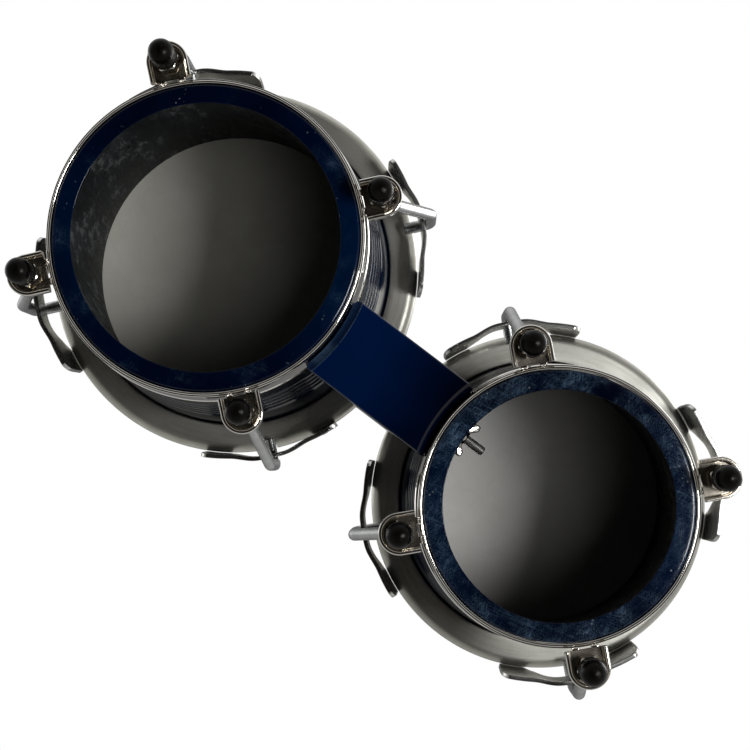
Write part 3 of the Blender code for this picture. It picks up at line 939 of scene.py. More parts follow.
def baked(source: bpy.types.Object) -> Mesh:
    """The plain mesh of an object with all its modifiers.

    Args:
        source: The object, which is removed.

    Returns:
        The mesh.
    """
    bpy.context.view_layer.update()
    graph = bpy.context.evaluated_depsgraph_get()
    mesh = bpy.data.meshes.new_from_object(source.evaluated_get(graph))
    source.modifiers.clear()
    bpy.data.objects.remove(source)
    return clean(mesh)


def placed(name: str, data: bpy.types.ID) -> bpy.types.Object:
    """An object of a mesh, a lamp or a camera, in the scene.

    Args:
        name: The object's name.
        data: What it shows.

    Returns:
        The object.
    """
    made = bpy.data.objects.new(name, data)
    bpy.context.scene.collection.objects.link(made)
    return made


def bevelled(mesh: Mesh, width: float, segments: int = 3, angle: float = 40) -> Mesh:
    """A mesh with its sharp edges rounded.

    Args:
        mesh: The mesh.
        width: How far the rounding reaches.
        segments: Its steps.
        angle: How sharp an edge has to be, in degrees.

    Returns:
        The new mesh.
    """
    source = placed("helper", mesh)
    edge = source.modifiers.new("edge", "BEVEL")
    edge.width = width
    edge.segments = segments
    edge.limit_method = "ANGLE"
    edge.angle_limit = math.radians(angle)
    return baked(source)


def box(low: Sequence[float], high: Sequence[float]) -> Mesh:
    """A box between two corners.

    Args:
        low: Its lowest corner.
        high: Its highest corner.

    Returns:
        The mesh.
    """
    shape = bmesh.new()
    size = Vector(high) - Vector(low)
    place = Matrix.Translation((Vector(high) + Vector(low)) / 2) @ Matrix.Diagonal((*size, 1))
    bmesh.ops.create_cube(shape, size=1, matrix=place)
    return from_shape("box", shape)


def drawn_out(outline: Sequence[Place], way: Place) -> Shape:
    """A flat outline drawn out into a solid.

    Args:
        outline: The outline's points.
        way: How far it is drawn out, and which way.

    Returns:
        The shape, to work on.
    """
    shape = bmesh.new()
    face = shape.faces.new([shape.verts.new(point) for point in outline])
    made = bmesh.ops.extrude_face_region(shape, geom=[face])["geom"]
    moving = [item for item in made if isinstance(item, bmesh.types.BMVert)]
    bmesh.ops.translate(shape, verts=moving, vec=way)
    return shape


def prism(outline: Sequence[Point], low: float, high: float, top_round: float) -> Mesh:
    """An upright block of an outline in X and Y, with its upper edge rounded.

    Args:
        outline: The block's outline.
        low: Height of its underside.
        high: Height of its top.
        top_round: Radius of its upper edge.

    Returns:
        The mesh.
    """
    shape = drawn_out([(x, y, low) for x, y in outline], (0, 0, high - low))
    upper = [e for e in shape.edges if all(v.co.z > high - MERGE for v in e.verts)]
    round_edges(shape, upper, top_round, 7)
    return clean(from_shape("prism", shape))


def slab(outline: Sequence[Point], thickness: float) -> Mesh:
    """A flat plate of an outline in X and Z, centred on Y."""
    shape = drawn_out([(x, -thickness / 2, z) for x, z in outline], (0, thickness, 0))
    return clean(from_shape("slab", shape))


def cut(body: Mesh, tools: Sequence[Mesh]) -> Mesh:
    """A mesh less several others.

    Args:
        body: What is cut.
        tools: What is taken away.

    Returns:
        The new mesh.
    """
    source = placed("helper", body)
    cutters = [placed("helper", tool) for tool in tools]
    for cutter in cutters:
        step = source.modifiers.new("cut", "BOOLEAN")
        step.operation = "DIFFERENCE"
        step.solver = "EXACT"
        step.object = cutter
    mesh = baked(source)
    for cutter in cutters:
        bpy.data.objects.remove(cutter)
    return mesh


def joined(*meshes: Mesh) -> Mesh:
    """Several meshes as one, each keeping its own faces and sharp edges."""
    return from_shape("joined", to_shape(*meshes))


def moved(mesh: Mesh, place: Matrix) -> Mesh:
    """A copy of a mesh, moved.

    Args:
        mesh: The mesh, which stays as it is.
        place: What it is moved by.

    Returns:
        The copy.
    """
    copy = mesh.copy()
    copy.transform(place)
    return copy


def lifted(mesh: Mesh, height: float) -> Mesh:
    """A copy of a mesh, moved up."""
    return moved(mesh, Matrix.Translation((0, 0, height)))


# Geometry Nodes


class NodeRecipe:
    """A Geometry Nodes tree with named inputs, baked to a plain mesh."""

    def __init__(self, name: str, sizes: dict[str, tuple[str, float]]) -> None:
        """Starts a tree.

        Args:
            name: The tree's name.
            sizes: The type and the default of each named input.
        """
        self.tree = bpy.data.node_groups.new(name, "GeometryNodeTree")
        face = self.tree.interface
        face.new_socket("Geometry", in_out="INPUT", socket_type="NodeSocketGeometry")
        face.new_socket("Geometry", in_out="OUTPUT", socket_type="NodeSocketGeometry")
        self.keys: dict[str, str] = {}
        for label, (kind, value) in sizes.items():
            socket = face.new_socket(label, in_out="INPUT", socket_type=f"NodeSocket{kind}")
            socket.default_value = value
            self.keys[label] = socket.identifier
        finish = face.new_socket("Finish", in_out="INPUT", socket_type="NodeSocketMaterial")
        self.keys["Finish"] = finish.identifier
        self.start = self.tree.nodes.new("NodeGroupInput")

    def add(self, kind: str, settings: dict | None = None, inputs: dict | None = None) -> bpy.types.Node:
        """Adds a node.

        Args:
            kind: The node's type.
            settings: Values set on the node itself, before its sockets.
            inputs: A value, or a socket to link, for each input, by its name.

        Returns:
            The node.
        """
        node = self.tree.nodes.new(kind)
        for name, value in (settings or {}).items():
            setattr(node, name, value)
        for key, value in (inputs or {}).items():
            socket = Graph.pick(node.inputs, key)
            if isinstance(value, bpy.types.NodeSocket):
                self.tree.links.new(value, socket)
            else:
                socket.default_value = value
        return node

    def end(self, geometry: bpy.types.NodeSocket) -> NodeRecipe:
        """Realises what the tree has made, gives it its finish and ends the tree.

        Args:
            geometry: What the tree has made.

        Returns:
            The recipe itself.
        """
        real = self.add("GeometryNodeRealizeInstances", None, {"Geometry": geometry})
        finish = {"Geometry": real.outputs[0], "Material": self.start.outputs["Finish"]}
        last = self.add("GeometryNodeSetMaterial", None, finish)
        self.add("NodeGroupOutput", None, {"Geometry": last.outputs[0]})
        return self

    def bake(self, mesh: Mesh, finish: Material, **sizes: float) -> Mesh:
        """Runs the tree on a mesh.

        Args:
            mesh: What the tree starts from.
            finish: The material of what it makes.
            **sizes: Values for the named inputs.

        Returns:
            The plain mesh.
        """
        source = placed("helper", mesh)
        step = source.modifiers.new(self.tree.name, "NODES")
        step.node_group = self.tree
        step[self.keys["Finish"]] = finish
        for label, value in sizes.items():
            step[self.keys[label.title()]] = value
        return baked(source)


def swept_rod_recipe() -> NodeRecipe:
    """A round bar along a line of edges, as thick at each point as its "thickness" attribute says.

    Returns:
        The recipe.
    """
    recipe = NodeRecipe("swept_rod", {"Radius": ("Float", 0.001), "Sides": ("Int", 24)})
    given = recipe.start.outputs
    line = recipe.add("GeometryNodeMeshToCurve", None, {"Mesh": given["Geometry"]})
    sides = {"Resolution": given["Sides"], "Radius": given["Radius"]}
    ring = recipe.add("GeometryNodeCurvePrimitiveCircle", None, sides)
    thick = recipe.add("GeometryNodeInputNamedAttribute", {"data_type": "FLOAT"}, {"Name": "thickness"})
    sweep = {"Curve": line.outputs[0], "Profile Curve": ring.outputs[0], "Scale": thick.outputs[0]}
    bar = recipe.add("GeometryNodeCurveToMesh", None, {**sweep, "Fill Caps": True})
    return recipe.end(bar.outputs[0])


def thread_recipe() -> NodeRecipe:
    """The ridge of a screw thread, wound up Z from the origin, whatever mesh it is run on.

    Returns:
        The recipe.
    """
    sizes = {"Turns": 8.0, "Core": 0.003, "Ridge": 0.0004, "Height": 0.01}
    recipe = NodeRecipe("thread", {label: ("Float", size) for label, size in sizes.items()})
    given = recipe.start.outputs
    radii = {"Start Radius": given["Core"], "End Radius": given["Core"]}
    wind = {"Resolution": 20, "Rotations": given["Turns"], "Height": given["Height"], **radii}
    helix = recipe.add("GeometryNodeCurveSpiral", None, wind)
    level = recipe.add("GeometryNodeSetCurveNormal", {"mode": "Z_UP"}, {"Curve": helix.outputs[0]})
    ridge = recipe.add("GeometryNodeCurvePrimitiveCircle", None, {"Resolution": 4, "Radius": given["Ridge"]})
    sweep = {"Curve": level.outputs[0], "Profile Curve": ridge.outputs[0], "Fill Caps": True}
    wound = recipe.add("GeometryNodeCurveToMesh", None, sweep)
    return recipe.end(wound.outputs[0])


def spot_weld_recipe() -> NodeRecipe:
    """A low round spot weld on each point, facing the way of the point's "outward" attribute.

    Returns:
        The recipe.
    """
    recipe = NodeRecipe("spot_welds", {"Radius": ("Float", 0.002), "Height": ("Float", 0.0003)})
    given = recipe.start.outputs
    ball = recipe.add("GeometryNodeMeshUVSphere", None, {"Segments": 20, "Rings": 10, "Radius": 1.0})
    size = {"X": given["Radius"], "Y": given["Radius"], "Z": given["Height"]}
    flat = recipe.add("ShaderNodeCombineXYZ", None, size)
    way = recipe.add("GeometryNodeInputNamedAttribute", {"data_type": "FLOAT_VECTOR"}, {"Name": "outward"})
    turn = recipe.add("FunctionNodeAlignRotationToVector", {"axis": "Z"}, {"Vector": way.outputs[0]})
    put = {"Points": given["Geometry"], "Instance": ball.outputs["Mesh"]}
    put |= {"Rotation": turn.outputs[0], "Scale": flat.outputs[0]}
    welds = recipe.add("GeometryNodeInstanceOnPoints", None, put)
    return recipe.end(welds.outputs[0])


def line_mesh(points: Sequence[Place], thickness: Sequence[float]) -> Mesh:
    """A line of edges with a thickness at each point, for the swept rod.

    Args:
        points: The line's points.
        thickness: What the rod's radius is multiplied by at each.

    Returns:
        The mesh.
    """
    mesh = new_mesh("line", points, [(i, i + 1) for i in range(len(points) - 1)], [])
    mesh.attributes.new("thickness", "FLOAT", "POINT").data.foreach_set("value", list(thickness))
    return mesh


def spots_mesh(points: Sequence[Place], outward: Sequence[Place]) -> Mesh:
    """Loose points that each know which way is outwards, for the spot welds.

    Args:
        points: The points.
        outward: The way outwards at each.

    Returns:
        The mesh.
    """
    mesh = new_mesh("spots", points, [], [])
    ways = mesh.attributes.new("outward", "FLOAT_VECTOR", "POINT")
    ways.data.foreach_set("vector", [n for way in outward for n in way])
    return mesh


def wound_thread(recipe: NodeRecipe, finish: Material, radius: float, pitch: float, height: float) -> Mesh:
    """The ridge of a thread, wound up Z from the origin.

    Args:
        recipe: The thread's recipe.
        finish: Its material.
        radius: The thread's outer radius.
        pitch: Its rise in one turn.
        height: Its length.

    Returns:
        The mesh.
    """
    start = line_mesh([(0, 0, 0), (0, 0, height)], (1, 1))
    sizes = {"core": radius - THREAD_DEPTH, "ridge": THREAD_DEPTH * RIDGE_SHARE, "height": height}
    return recipe.bake(start, finish, turns=height / pitch, **sizes)


# Where everything goes


@dataclass(frozen=True)
class Drum:
    """Where one drum stands and how wide it is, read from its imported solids."""

    name: str
    x: float
    foot_z: float
    foot_radius: float
    rods: tuple[Point, ...]
    slope: float

    FLARE = 0.0158

    @classmethod
    def read(cls, which: DrumName) -> Drum:
        """Reads a drum's place from its shell and its nuts.

        Args:
            which: Which drum.

        Returns:
            The drum.
        """
        name = which.value
        low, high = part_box(f"{name}_shell")
        nuts = [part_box(f"{name}_nut_{number}") for number in LUGS]
        rods = tuple(((a.x + b.x) / 2, (a.y + b.y) / 2) for a, b in nuts)
        top_radius = (high.y - low.y) / 2
        slope = cls.FLARE / (high.z - low.z)
        return cls(name, (low.x + high.x) / 2, low.z, top_radius - cls.FLARE, rods, slope)

    @property
    def centre(self) -> Place:
        """The point of the drum's axis in the foot plane."""
        return (self.x, 0.0, self.foot_z)

    @property
    def place(self) -> Matrix:
        """From the drum's own sections to the row frame."""
        return Matrix.Translation(self.centre)

    def outside(self, height: float) -> float:
        """Radius of the shell's outer wall at a height."""
        return self.foot_radius + self.slope * height

    def lug_turn(self, number: int) -> Matrix:
        """A turn about the drum's axis, from +X to a lug."""
        x, y = self.rods[number - 1]
        return self.place @ Matrix.Rotation(math.atan2(y, x - self.x), 4, "Z")

    def lug(self, number: int) -> Matrix:
        """From a rod's own frame to the row frame."""
        x, y = self.rods[number - 1]
        return self.lug_turn(number) @ Matrix.Translation((math.hypot(x - self.x, y), 0, 0))


class Workshop:
    """Puts each finished piece into the scene, on the body of the node that it stands for."""

    def __init__(self, frame: dict) -> None:
        """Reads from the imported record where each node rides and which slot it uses.
        """
        record = frame["record"]
        bodies = record["behaviour"]["bodies"]
        self.body_of = {node: body for body, nodes in bodies.items() for node in nodes}
        self.slot_of = {row["node"]: row["material_slot"] for row in record["subparts"]}

    def show(self, node: str, mesh: Mesh, *finishes: Material) -> bpy.types.Object:
        """Adds the piece that stands for a node.

        Args:
            node: The CAD node, which is then hidden.
            mesh: The piece's mesh, in the row frame.
            *finishes: Its materials, in the order of their places.

        Returns:
            The piece, which rides on nothing yet.
        """
        piece = placed(f"{node}_dressed", mesh)
        places = np.zeros(len(mesh.polygons), np.int32)
        mesh.polygons.foreach_get("material_index", places)
        mesh.materials.clear()
        for finish in finishes:
            mesh.materials.append(finish)
        if len(finishes) > 1:
            mesh.polygons.foreach_set("material_index", places)
        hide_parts(node)
        return piece

    def add(self, node: str, mesh: Mesh, *finishes: Material) -> None:
        """Adds the piece that stands for a node, and lets it ride on the node's body.

        Args:
            node: The CAD node, which is then hidden.
            mesh: The piece's mesh, in the row frame.
            *finishes: Its materials, in the order of their places.
        """
        piece = self.show(node, mesh, *finishes)
        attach(piece, self.body_of[node])
        LOG.info("%s: %d faces on %s", piece.name, len(mesh.polygons), self.body_of[node])


# Sub-assemblies


@dataclass
class Shell:
    """A tapered wooden shell: grooves turned into its outside, a plain wall inside."""

    wear: Wear
    inside_finish: SlateWall
    height: float = SHELL_HEIGHT
    wall: float = 0.011
    bearing_round: float = BEARING_ROUND
    foot_round: float = 0.0016
    inner_round: float = 0.0004
    grooves: tuple[float, ...] = (0.0990, 0.0880, 0.0770, 0.0660, 0.0550)
    groove_width: float = 0.0026
    groove_depth: float = 0.0007
    outside_finish: Lacquer = Lacquer("navy_lacquer", coat=0.12)
    # The foot's navy at the shaded and the lit end of its tone, between which the lacquer paints its sheen.
    foot_tones: tuple[Colour, Colour] = ((0.0002, 0.0020, 0.0125), (0.0003, 0.0094, 0.0380))

    def profile(self, drum: Drum) -> tuple[list[Point], list[int]]:
        """The wall's section, down its outside and up its inside.

        Args:
            drum: Which drum.

        Returns:
            The points, and the finish of each step: 0 outside, 1 foot, 2 inside.
        """
        top, foot = drum.outside(self.height), drum.outside(0)
        inner_foot, inner_top = foot - self.wall, top - self.wall
        edge, heel, sharp = self.bearing_round, self.foot_round, self.inner_round
        outer = arc((top - edge, self.height - edge), edge, 90, 0, 10)
        for height in self.grooves:
            for share in np.linspace(-1, 1, 9):
                z = height - share * self.groove_width / 2
                outer.append((drum.outside(z) - self.groove_depth * swell(share), z))
        foot_arc = arc((foot - heel, heel), heel, 0, -90, 6)
        flat = [(foot - heel - (self.wall - heel - sharp) * k / 4, 0.0) for k in (1, 2, 3)]
        inner_arc = arc((inner_foot + sharp, sharp), sharp, -90, -180, 6)
        upper = arc((inner_top + heel, self.height - heel), heel, 180, 90, 5)
        points = outer + foot_arc + flat + inner_arc + upper
        slots = [0] * len(outer) + [1] * (len(foot_arc) + len(flat) + 5) + [2] * (len(upper) + 2)
        return points, slots[: len(points)]

    def build(self, shop: Workshop, drum: Drum) -> None:
        """Makes the shell.

        Args:
            shop: Where its pieces go.
            drum: Which drum.
        """
        points, slots = self.profile(drum)
        mesh = moved(turned(points, slots=slots), drum.place)
        inner_edge = drum.foot_radius - self.wall
        foot = Lacquer(f"{drum.name}_foot_lacquer", self.wear, *self.foot_tones, inner_edge=inner_edge)
        finishes = [f.material(drum.centre) for f in (self.outside_finish, foot, self.inside_finish)]
        shop.add(f"{drum.name}_shell", mesh, *finishes)


@dataclass
class BottomRing:
    """A rolled band round the foot with a beaded edge, and the four pressed ears welded to it."""

    recipes: dict[str, NodeRecipe]
    sheet: float = RING_SHEET
    height: float = RING_HEIGHT
    bead: float = RING_BEAD
    upper_bead: float = 0.00045
    upper_bead_drop: float = 0.0042
    upper_bead_half: float = 0.0016
    bead_fullness: float = 0.7
    gap: float = GAP
    ear_reach: float = 0.0121
    ear_width: float = 0.0235
    ear_sheet: float = 0.0022
    ear_depth: float = 0.0072
    ear_floor: float = 0.0005
    ear_slot: float = 0.0020
    fold: float = 0.0018
    pocket_round: float = 0.0008
    lip: float = 0.0009
    hole: float = 0.00425
    hole_edge: float = 0.0003
    tab_width: float = 0.0042
    tab_spread: float = 0.0150
    tab_round: float = 0.0004
    weld_radius: float = 0.0008
    weld_inset: float = 0.0002
    weld_steps: int = 24
    weld_taper: float = 0.4
    weld_thinnest: float = 0.2
    ripple: float = 0.14
    ripple_turn: float = 2.1
    overcut: float = 0.004
    finish: Chrome = Chrome()
    dull_finish: Chrome = Chrome("dull_pressing_plate", (0.42, 0.38, 0.32), (0.24, 0.20, 0.16), 0.20)

    def outside(self, drum: Drum, height: float) -> float:
        """Radius of the band's plain outer face at a height."""
        return drum.outside(height) + self.gap + self.sheet

    def band_profile(self, drum: Drum) -> list[Point]:
        """The band's section: a rounded upper edge, a faint upper bead and a full lower one.

        Args:
            drum: Which drum.

        Returns:
            The section's outline.
        """
        half = self.sheet / 2
        points = arc((self.outside(drum, self.height) - half, self.height - half), half, 180, 0, 8)
        for share in np.linspace(-1, 1, 9):
            z = self.height - self.upper_bead_drop - share * self.upper_bead_half
            points.append((self.outside(drum, z) + self.upper_bead * swell(share), z))
        for share in np.linspace(-1, 1, 11):
            z = 2 * self.bead * (1 - share)
            full = max(0.0, math.cos(math.pi / 2 * share)) ** self.bead_fullness
            points.append((self.outside(drum, z) + self.bead * full, z))
        points = [p for p in points if p[1] > half / 2]
        points += arc((self.outside(drum, 0) - half, half), half, 0, -180, 8)[1:]
        return points

    def ear_outline(self, inset: float, overrun: float, steps: int = 48) -> list[Point]:
        """A D round the rod.

        Args:
            inset: How far its round side is pulled in from the ear's.
            overrun: How far its straight side runs past the ear's edge.
            steps: Steps in the round side.

        Returns:
            The outline.
        """
        radius = self.ear_width / 2 - inset
        base = -self.ear_reach + self.ear_slot - overrun
        return [(base, -radius), *arc((0, 0), radius, -90, 90, steps), (base, radius)]

    def ear(self) -> Mesh:
        """A pressed dish, open downwards and towards the ring, with a hole for the rod.

        Returns:
            The mesh, round the rod, whose dish has the second finish.
        """
        top = self.ear_floor + self.ear_sheet
        bottom = top - self.ear_depth
        over = self.overcut
        base = -self.ear_reach + self.ear_slot
        body = prism(self.ear_outline(0, over), bottom, top, self.fold)
        dish = self.ear_outline(self.ear_sheet, 2 * over)
        pocket = prism(dish, bottom - over, self.ear_floor, self.pocket_round)
        mouth = self.hole + self.hole_edge
        bore = [(0, top + over), (mouth + over, top + over), (mouth, top), (self.hole, top - self.hole_edge)]
        bore += [(self.hole, bottom - over), (0, bottom - over)]
        hole = turned(bore, 64, closed=False)
        end = box((base - 3 * over, -self.ear_width, bottom - over), (base, self.ear_width, top + over))
        shape = to_shape(cut(body, (pocket, hole, end)))
        lip = [e for e in shape.edges if all(v.co.z < bottom + MERGE for v in e.verts) and not e.is_boundary]
        lip = [e for e in lip if any(v.co.x > base + MERGE for v in e.verts)]
        round_edges(shape, lip, self.lip, 5)
        mesh = clean(from_shape("ear", shape))
        reach = self.ear_width / 2 - self.ear_sheet + 2 * MERGE
        for face in mesh.polygons:
            x, y, z = face.center
            inside = abs(y) < reach if x < 0 else math.hypot(x, y) < reach
            face.material_index = int(inside and z < self.ear_floor + MERGE)
        return mesh

    def tabs(self, slope: float) -> list[Mesh]:
        """The two tabs across the slot, each with a rippled weld where it meets the ring.

        Args:
            slope: How far the shell widens in a metre of height.

        Returns:
            A mesh for each tab and each weld, round the rod.
        """
        top = self.ear_floor + self.ear_sheet
        start = -self.ear_reach + slope * top + self.gap
        end = -self.ear_reach + self.ear_slot + self.ear_sheet / 2
        shares = [k / self.weld_steps for k in range(self.weld_steps + 1)]
        waves = [1 - self.ripple * (1 - math.sin(k * self.ripple_turn)) for k in range(self.weld_steps + 1)]
        swollen = [math.sin(math.pi * s) ** self.weld_taper * wave for s, wave in zip(shares, waves)]
        thickness = [max(self.weld_thinnest, part) for part in swollen]
        made = []
        for side in (-1, 1):
            outer = side * self.tab_spread / 2
            inner = side * (self.tab_spread / 2 - self.tab_width)
            low = (start, min(outer, inner), self.ear_floor + self.gap)
            high = (end, max(outer, inner), top - self.gap)
            made.append(bevelled(box(low, high), self.tab_round))
            line = [(start + self.weld_inset, inner + (outer - inner) * s, self.ear_floor) for s in shares]
            bead = line_mesh(line, thickness)
            weld = {"radius": self.weld_radius, "sides": 10}
            made.append(self.recipes["rod"].bake(bead, self.finish.material(), **weld))
        return made

    def build(self, shop: Workshop, drum: Drum) -> None:
        """Makes the band and its ears.

        Args:
            shop: Where their pieces go.
            drum: Which drum.
        """
        finishes = self.finish.material(drum.centre), self.dull_finish.material(drum.centre)
        band = moved(turned(self.band_profile(drum)), drum.place)
        shop.add(f"{drum.name}_bottom_ring", band, finishes[0])
        ear = joined(self.ear(), *self.tabs(drum.slope))
        for number in LUGS:
            shop.add(f"{drum.name}_ear_{number}", moved(ear, drum.lug(number)), *finishes)


@dataclass
class Skin:
    """A rawhide head, from its flat over the bearing edge and down outside the shell."""

    finish: Rawhide
    top: float = 0.1663
    thickness: float = SKIN
    shell_height: float = SHELL_HEIGHT
    bearing_round: float = BEARING_ROUND
    collar_foot: float = 0.1505
    gap: float = GAP

    def profile(self, drum: Drum) -> list[Point]:
        """The skin's section: out over the top, down the collar and back inside.

        Args:
            drum: Which drum.

        Returns:
            The section, from the axis and back to it.
        """
        inner = self.bearing_round + self.gap
        outer = inner + self.thickness
        crown = (drum.outside(self.shell_height) - self.bearing_round, self.top - outer)
        collar = np.linspace(crown[1], self.collar_foot, 9)[1:]
        flat = [crown[0] * share for share in np.linspace(0, 1, 14)[:-1]]
        points = [(r, crown[1] + outer) for r in flat]
        points += arc(crown, outer, 90, 0, 8)
        points += [(crown[0] + outer, z) for z in collar]
        points += [(crown[0] + inner, z) for z in collar[::-1]]
        points += arc(crown, inner, 0, 90, 8)
        points += [(r, crown[1] + inner) for r in flat[::-1]]
        return points

    def build(self, shop: Workshop, drum: Drum) -> None:
        """Makes the head, between the shell and the flesh hoop.

        Args:
            shop: Where the head goes.
            drum: Which drum.
        """
        mesh = moved(turned(self.profile(drum), closed=False), drum.place)
        piece = shop.show(f"{drum.name}_head", mesh, self.finish.material(drum.centre))
        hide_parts(f"{drum.name}_skin_collar")
        upper = (drum.x, 0, drum.foot_z + self.top - self.thickness - self.bearing_round)
        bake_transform(piece)
        LOG.info("%s: %d faces between the shell and its hoop", piece.name, len(mesh.polygons))


@dataclass
class TensionSet:
    """What moves when a drum is tuned: rolled rim, flesh hoop, side plates, hooks and caps."""

    recipes: dict[str, NodeRecipe]
    shell_height: float = SHELL_HEIGHT
    gap: float = GAP
    skin: float = SKIN
    hoop_diameter: float = 0.007
    hoop_top: float = 0.1543
    rim_sheet: float = 0.0022
    rim_reach: float = 0.0166
    rim_top: float = 0.1630
    rim_depth: float = 0.0240
    inner_round: float = 0.0034
    under_round: float = 0.0050
    crown_height: float = 0.0095
    collar_room: float = 0.0017
    flange_room: float = 0.0008
    flange_flat: float = 0.004
    plate_sheet: float = 0.0025
    plate_length: float = 0.088
    plate_pad: float = 0.019
    plate_low: float = 0.109
    plate_strip: float = 0.126
    plate_high: float = 0.148
    plate_bow: float = 0.0026
    plate_flare: float = 0.0015
    plate_corner: float = 0.0035
    plate_edge: float = 0.0006
    step_radii: tuple[float, ...] = (0.006, 0.012, 0.004)
    bow_flat: float = 0.3
    end_draw: float = 0.0050
    end_rise: float = 0.0160
    weld_heights: Point = (0.134, 0.1425)
    weld_radius: float = 0.0024
    weld_height: float = 0.0003
    rod: float = 0.0075
    rod_foot: float = -0.0270
    rod_chamfer: float = 0.0005
    rod_end: float = 0.9
    thread_top: float = 0.0095
    thread_inset: float = 0.001
    pitch: float = 0.00125
    hook_corners: tuple[Point, ...] = ((0, 0.014), (0.02925, 0.096), (0.02925, 0.13069))
    hook_tip: float = 0.0122
    hook_radii: tuple[float, ...] = (0.020, 0.020, 0.0065)
    cap_diameter: float = 0.0146
    cap_top: float = -0.0116
    cap_tip: float = -0.0305
    cap_flat: float = 0.0012
    cap_mouth: float = 0.0006
    cap_edge: float = 0.0004
    cap_collar: float = 0.0028
    cap_step: float = 0.0003
    cap_waist: float = 0.0001
    steel: BrushedSteel = BrushedSteel()
    pale_steel: BrushedSteel = BrushedSteel(
        "bright_strip_steel", (0.58, 0.58, 0.56), (0.44, 0.44, 0.42), 0.12
    )
    plating: PlatedRod = PlatedRod()
    rubber: Rubber = Rubber()

    def rim_profile(self, drum: Drum) -> list[Point]:
        """A rolled rim: inner leg, rounded crown, outer wall and a flange turned under.

        Args:
            drum: Which drum.

        Returns:
            The section's outline.
        """
        half = self.rim_sheet / 2
        shell_top = drum.outside(self.shell_height)
        leg = shell_top + self.gap + self.skin + self.collar_room + half
        out = shell_top + self.rim_reach - half
        top = self.rim_top - half
        under = self.rim_top - self.rim_depth + half
        flange_edge = drum.outside(under) + self.flange_room
        inner = (leg + self.inner_round, top - self.inner_round)
        foot = (out - self.under_round, under + self.under_round)
        width = out - inner[0]
        angles = np.linspace(0, math.pi / 2, 15)
        crown = [(width * math.sin(a), self.crown_height * (1 - math.cos(a))) for a in angles]
        path = [
            (leg, self.hoop_top + self.gap),
            *arc(inner, self.inner_round, 180, 90, 8),
            *[(inner[0] + across, top - down) for across, down in crown[1:]],
            *arc(foot, self.under_round, 0, -90, 12),
            (flange_edge + self.flange_flat, under),
            (flange_edge, under),
        ]
        return sheet_section(path, self.rim_sheet)

    def hoop_profile(self, drum: Drum) -> list[Point]:
        """The round flesh hoop that the skin is lapped on.

        Args:
            drum: Which drum.

        Returns:
            The section's outline.
        """
        radius = self.hoop_diameter / 2
        middle = drum.outside(self.shell_height) + self.skin + 2 * self.gap + radius
        return arc((middle, self.hoop_top - radius), radius, 90, -270, 24)[:-1]

    @staticmethod
    def rounding(along: float, end: float, draw: float, rise: float) -> float:
        """How far a corner cuts in, as a quarter of an ellipse.

        Args:
            along: A place along an edge.
            end: Where the edge ends.
            draw: How far before that the corner starts.
            rise: How far it cuts in at the end.

        Returns:
            How far it cuts in at the place.
        """
        past = max(0.0, along - (end - draw)) / draw
        return rise * (1 - math.sqrt(max(0.0, 1 - past**2)))

    def plate_radius(self, drum: Drum) -> float:
        """Radius of the inner face of a side plate at its upper edge."""
        return drum.outside(self.shell_height) + self.rim_reach + self.gap

    def plate_face(self, drum: Drum, z: float) -> float:
        """Radius of the inner face of a side plate's ends at a height."""
        lean = (self.plate_high - z) / (self.plate_high - self.plate_low)
        return self.plate_radius(drum) + self.plate_flare * lean

    def plate_edges(self, columns: int) -> list[tuple[float, float, float]]:
        """Where a side plate starts and ends in height, from one of its ends to the other.

        Args:
            columns: At how many places.

        Returns:
            The place along the plate, the lower edge and the upper edge, for each column.
        """
        half = self.plate_length / 2
        pad = half - self.plate_pad
        corner = self.plate_corner
        slant = corner + (self.plate_high - self.plate_strip) / 6
        middle = (self.plate_strip + self.plate_high) / 2
        line = [(0, self.plate_strip), (pad - slant, self.plate_strip), (pad, middle)]
        line += [(pad + corner, self.plate_high), (half, self.plate_high)]
        rise = np.array(rounded_path(line, self.step_radii))
        short_of_flat = 0.999
        turn = math.pi / 2 * short_of_flat
        crowded = half * np.sin(np.linspace(-1, 1, columns) * turn) / math.sin(turn)
        edges = []
        for s in 0.5 * crowded + 0.5 * np.linspace(-half, half, columns):
            low = self.plate_low + self.rounding(abs(s), half, self.end_draw, self.end_rise)
            high = float(np.interp(abs(s), rise[:, 0], rise[:, 1]))
            edges.append((s, low, high - self.rounding(abs(s), half, corner, corner)))
        return edges

    def side_plate(self, drum: Drum, columns: int = 89, rows: int = 9) -> Mesh:
        """A strip bowed clear of the rim, whose taller ends lie on the rim.

        Args:
            drum: Which drum.
            columns: Points along the strip.
            rows: Points up it.

        Returns:
            The mesh, round the drum's axis.
        """
        radius = self.plate_radius(drum)
        pad = self.plate_length / 2 - self.plate_pad
        grid = []
        for s, low, high in self.plate_edges(columns):
            past = max(0, abs(s) / pad - self.bow_flat) / (1 - self.bow_flat)
            bow = self.plate_bow * swell(min(1, past))
            for z in np.linspace(low, high, rows):
                out = self.plate_face(drum, z) + bow
                grid.append((out * math.cos(s / radius), out * math.sin(s / radius), z))
        faces = strips(columns, rows, False, False)
        mesh = new_mesh("plate", grid, [], [(a, d, c, b) for a, b, c, d in faces])
        mesh.update()
        source = placed("helper", mesh)
        wall = source.modifiers.new("sheet", "SOLIDIFY")
        wall.thickness = self.plate_sheet
        wall.offset = 1 if mesh.polygons[0].normal.x > 0 else -1
        return bevelled(baked(source), self.plate_edge, 3, 50)

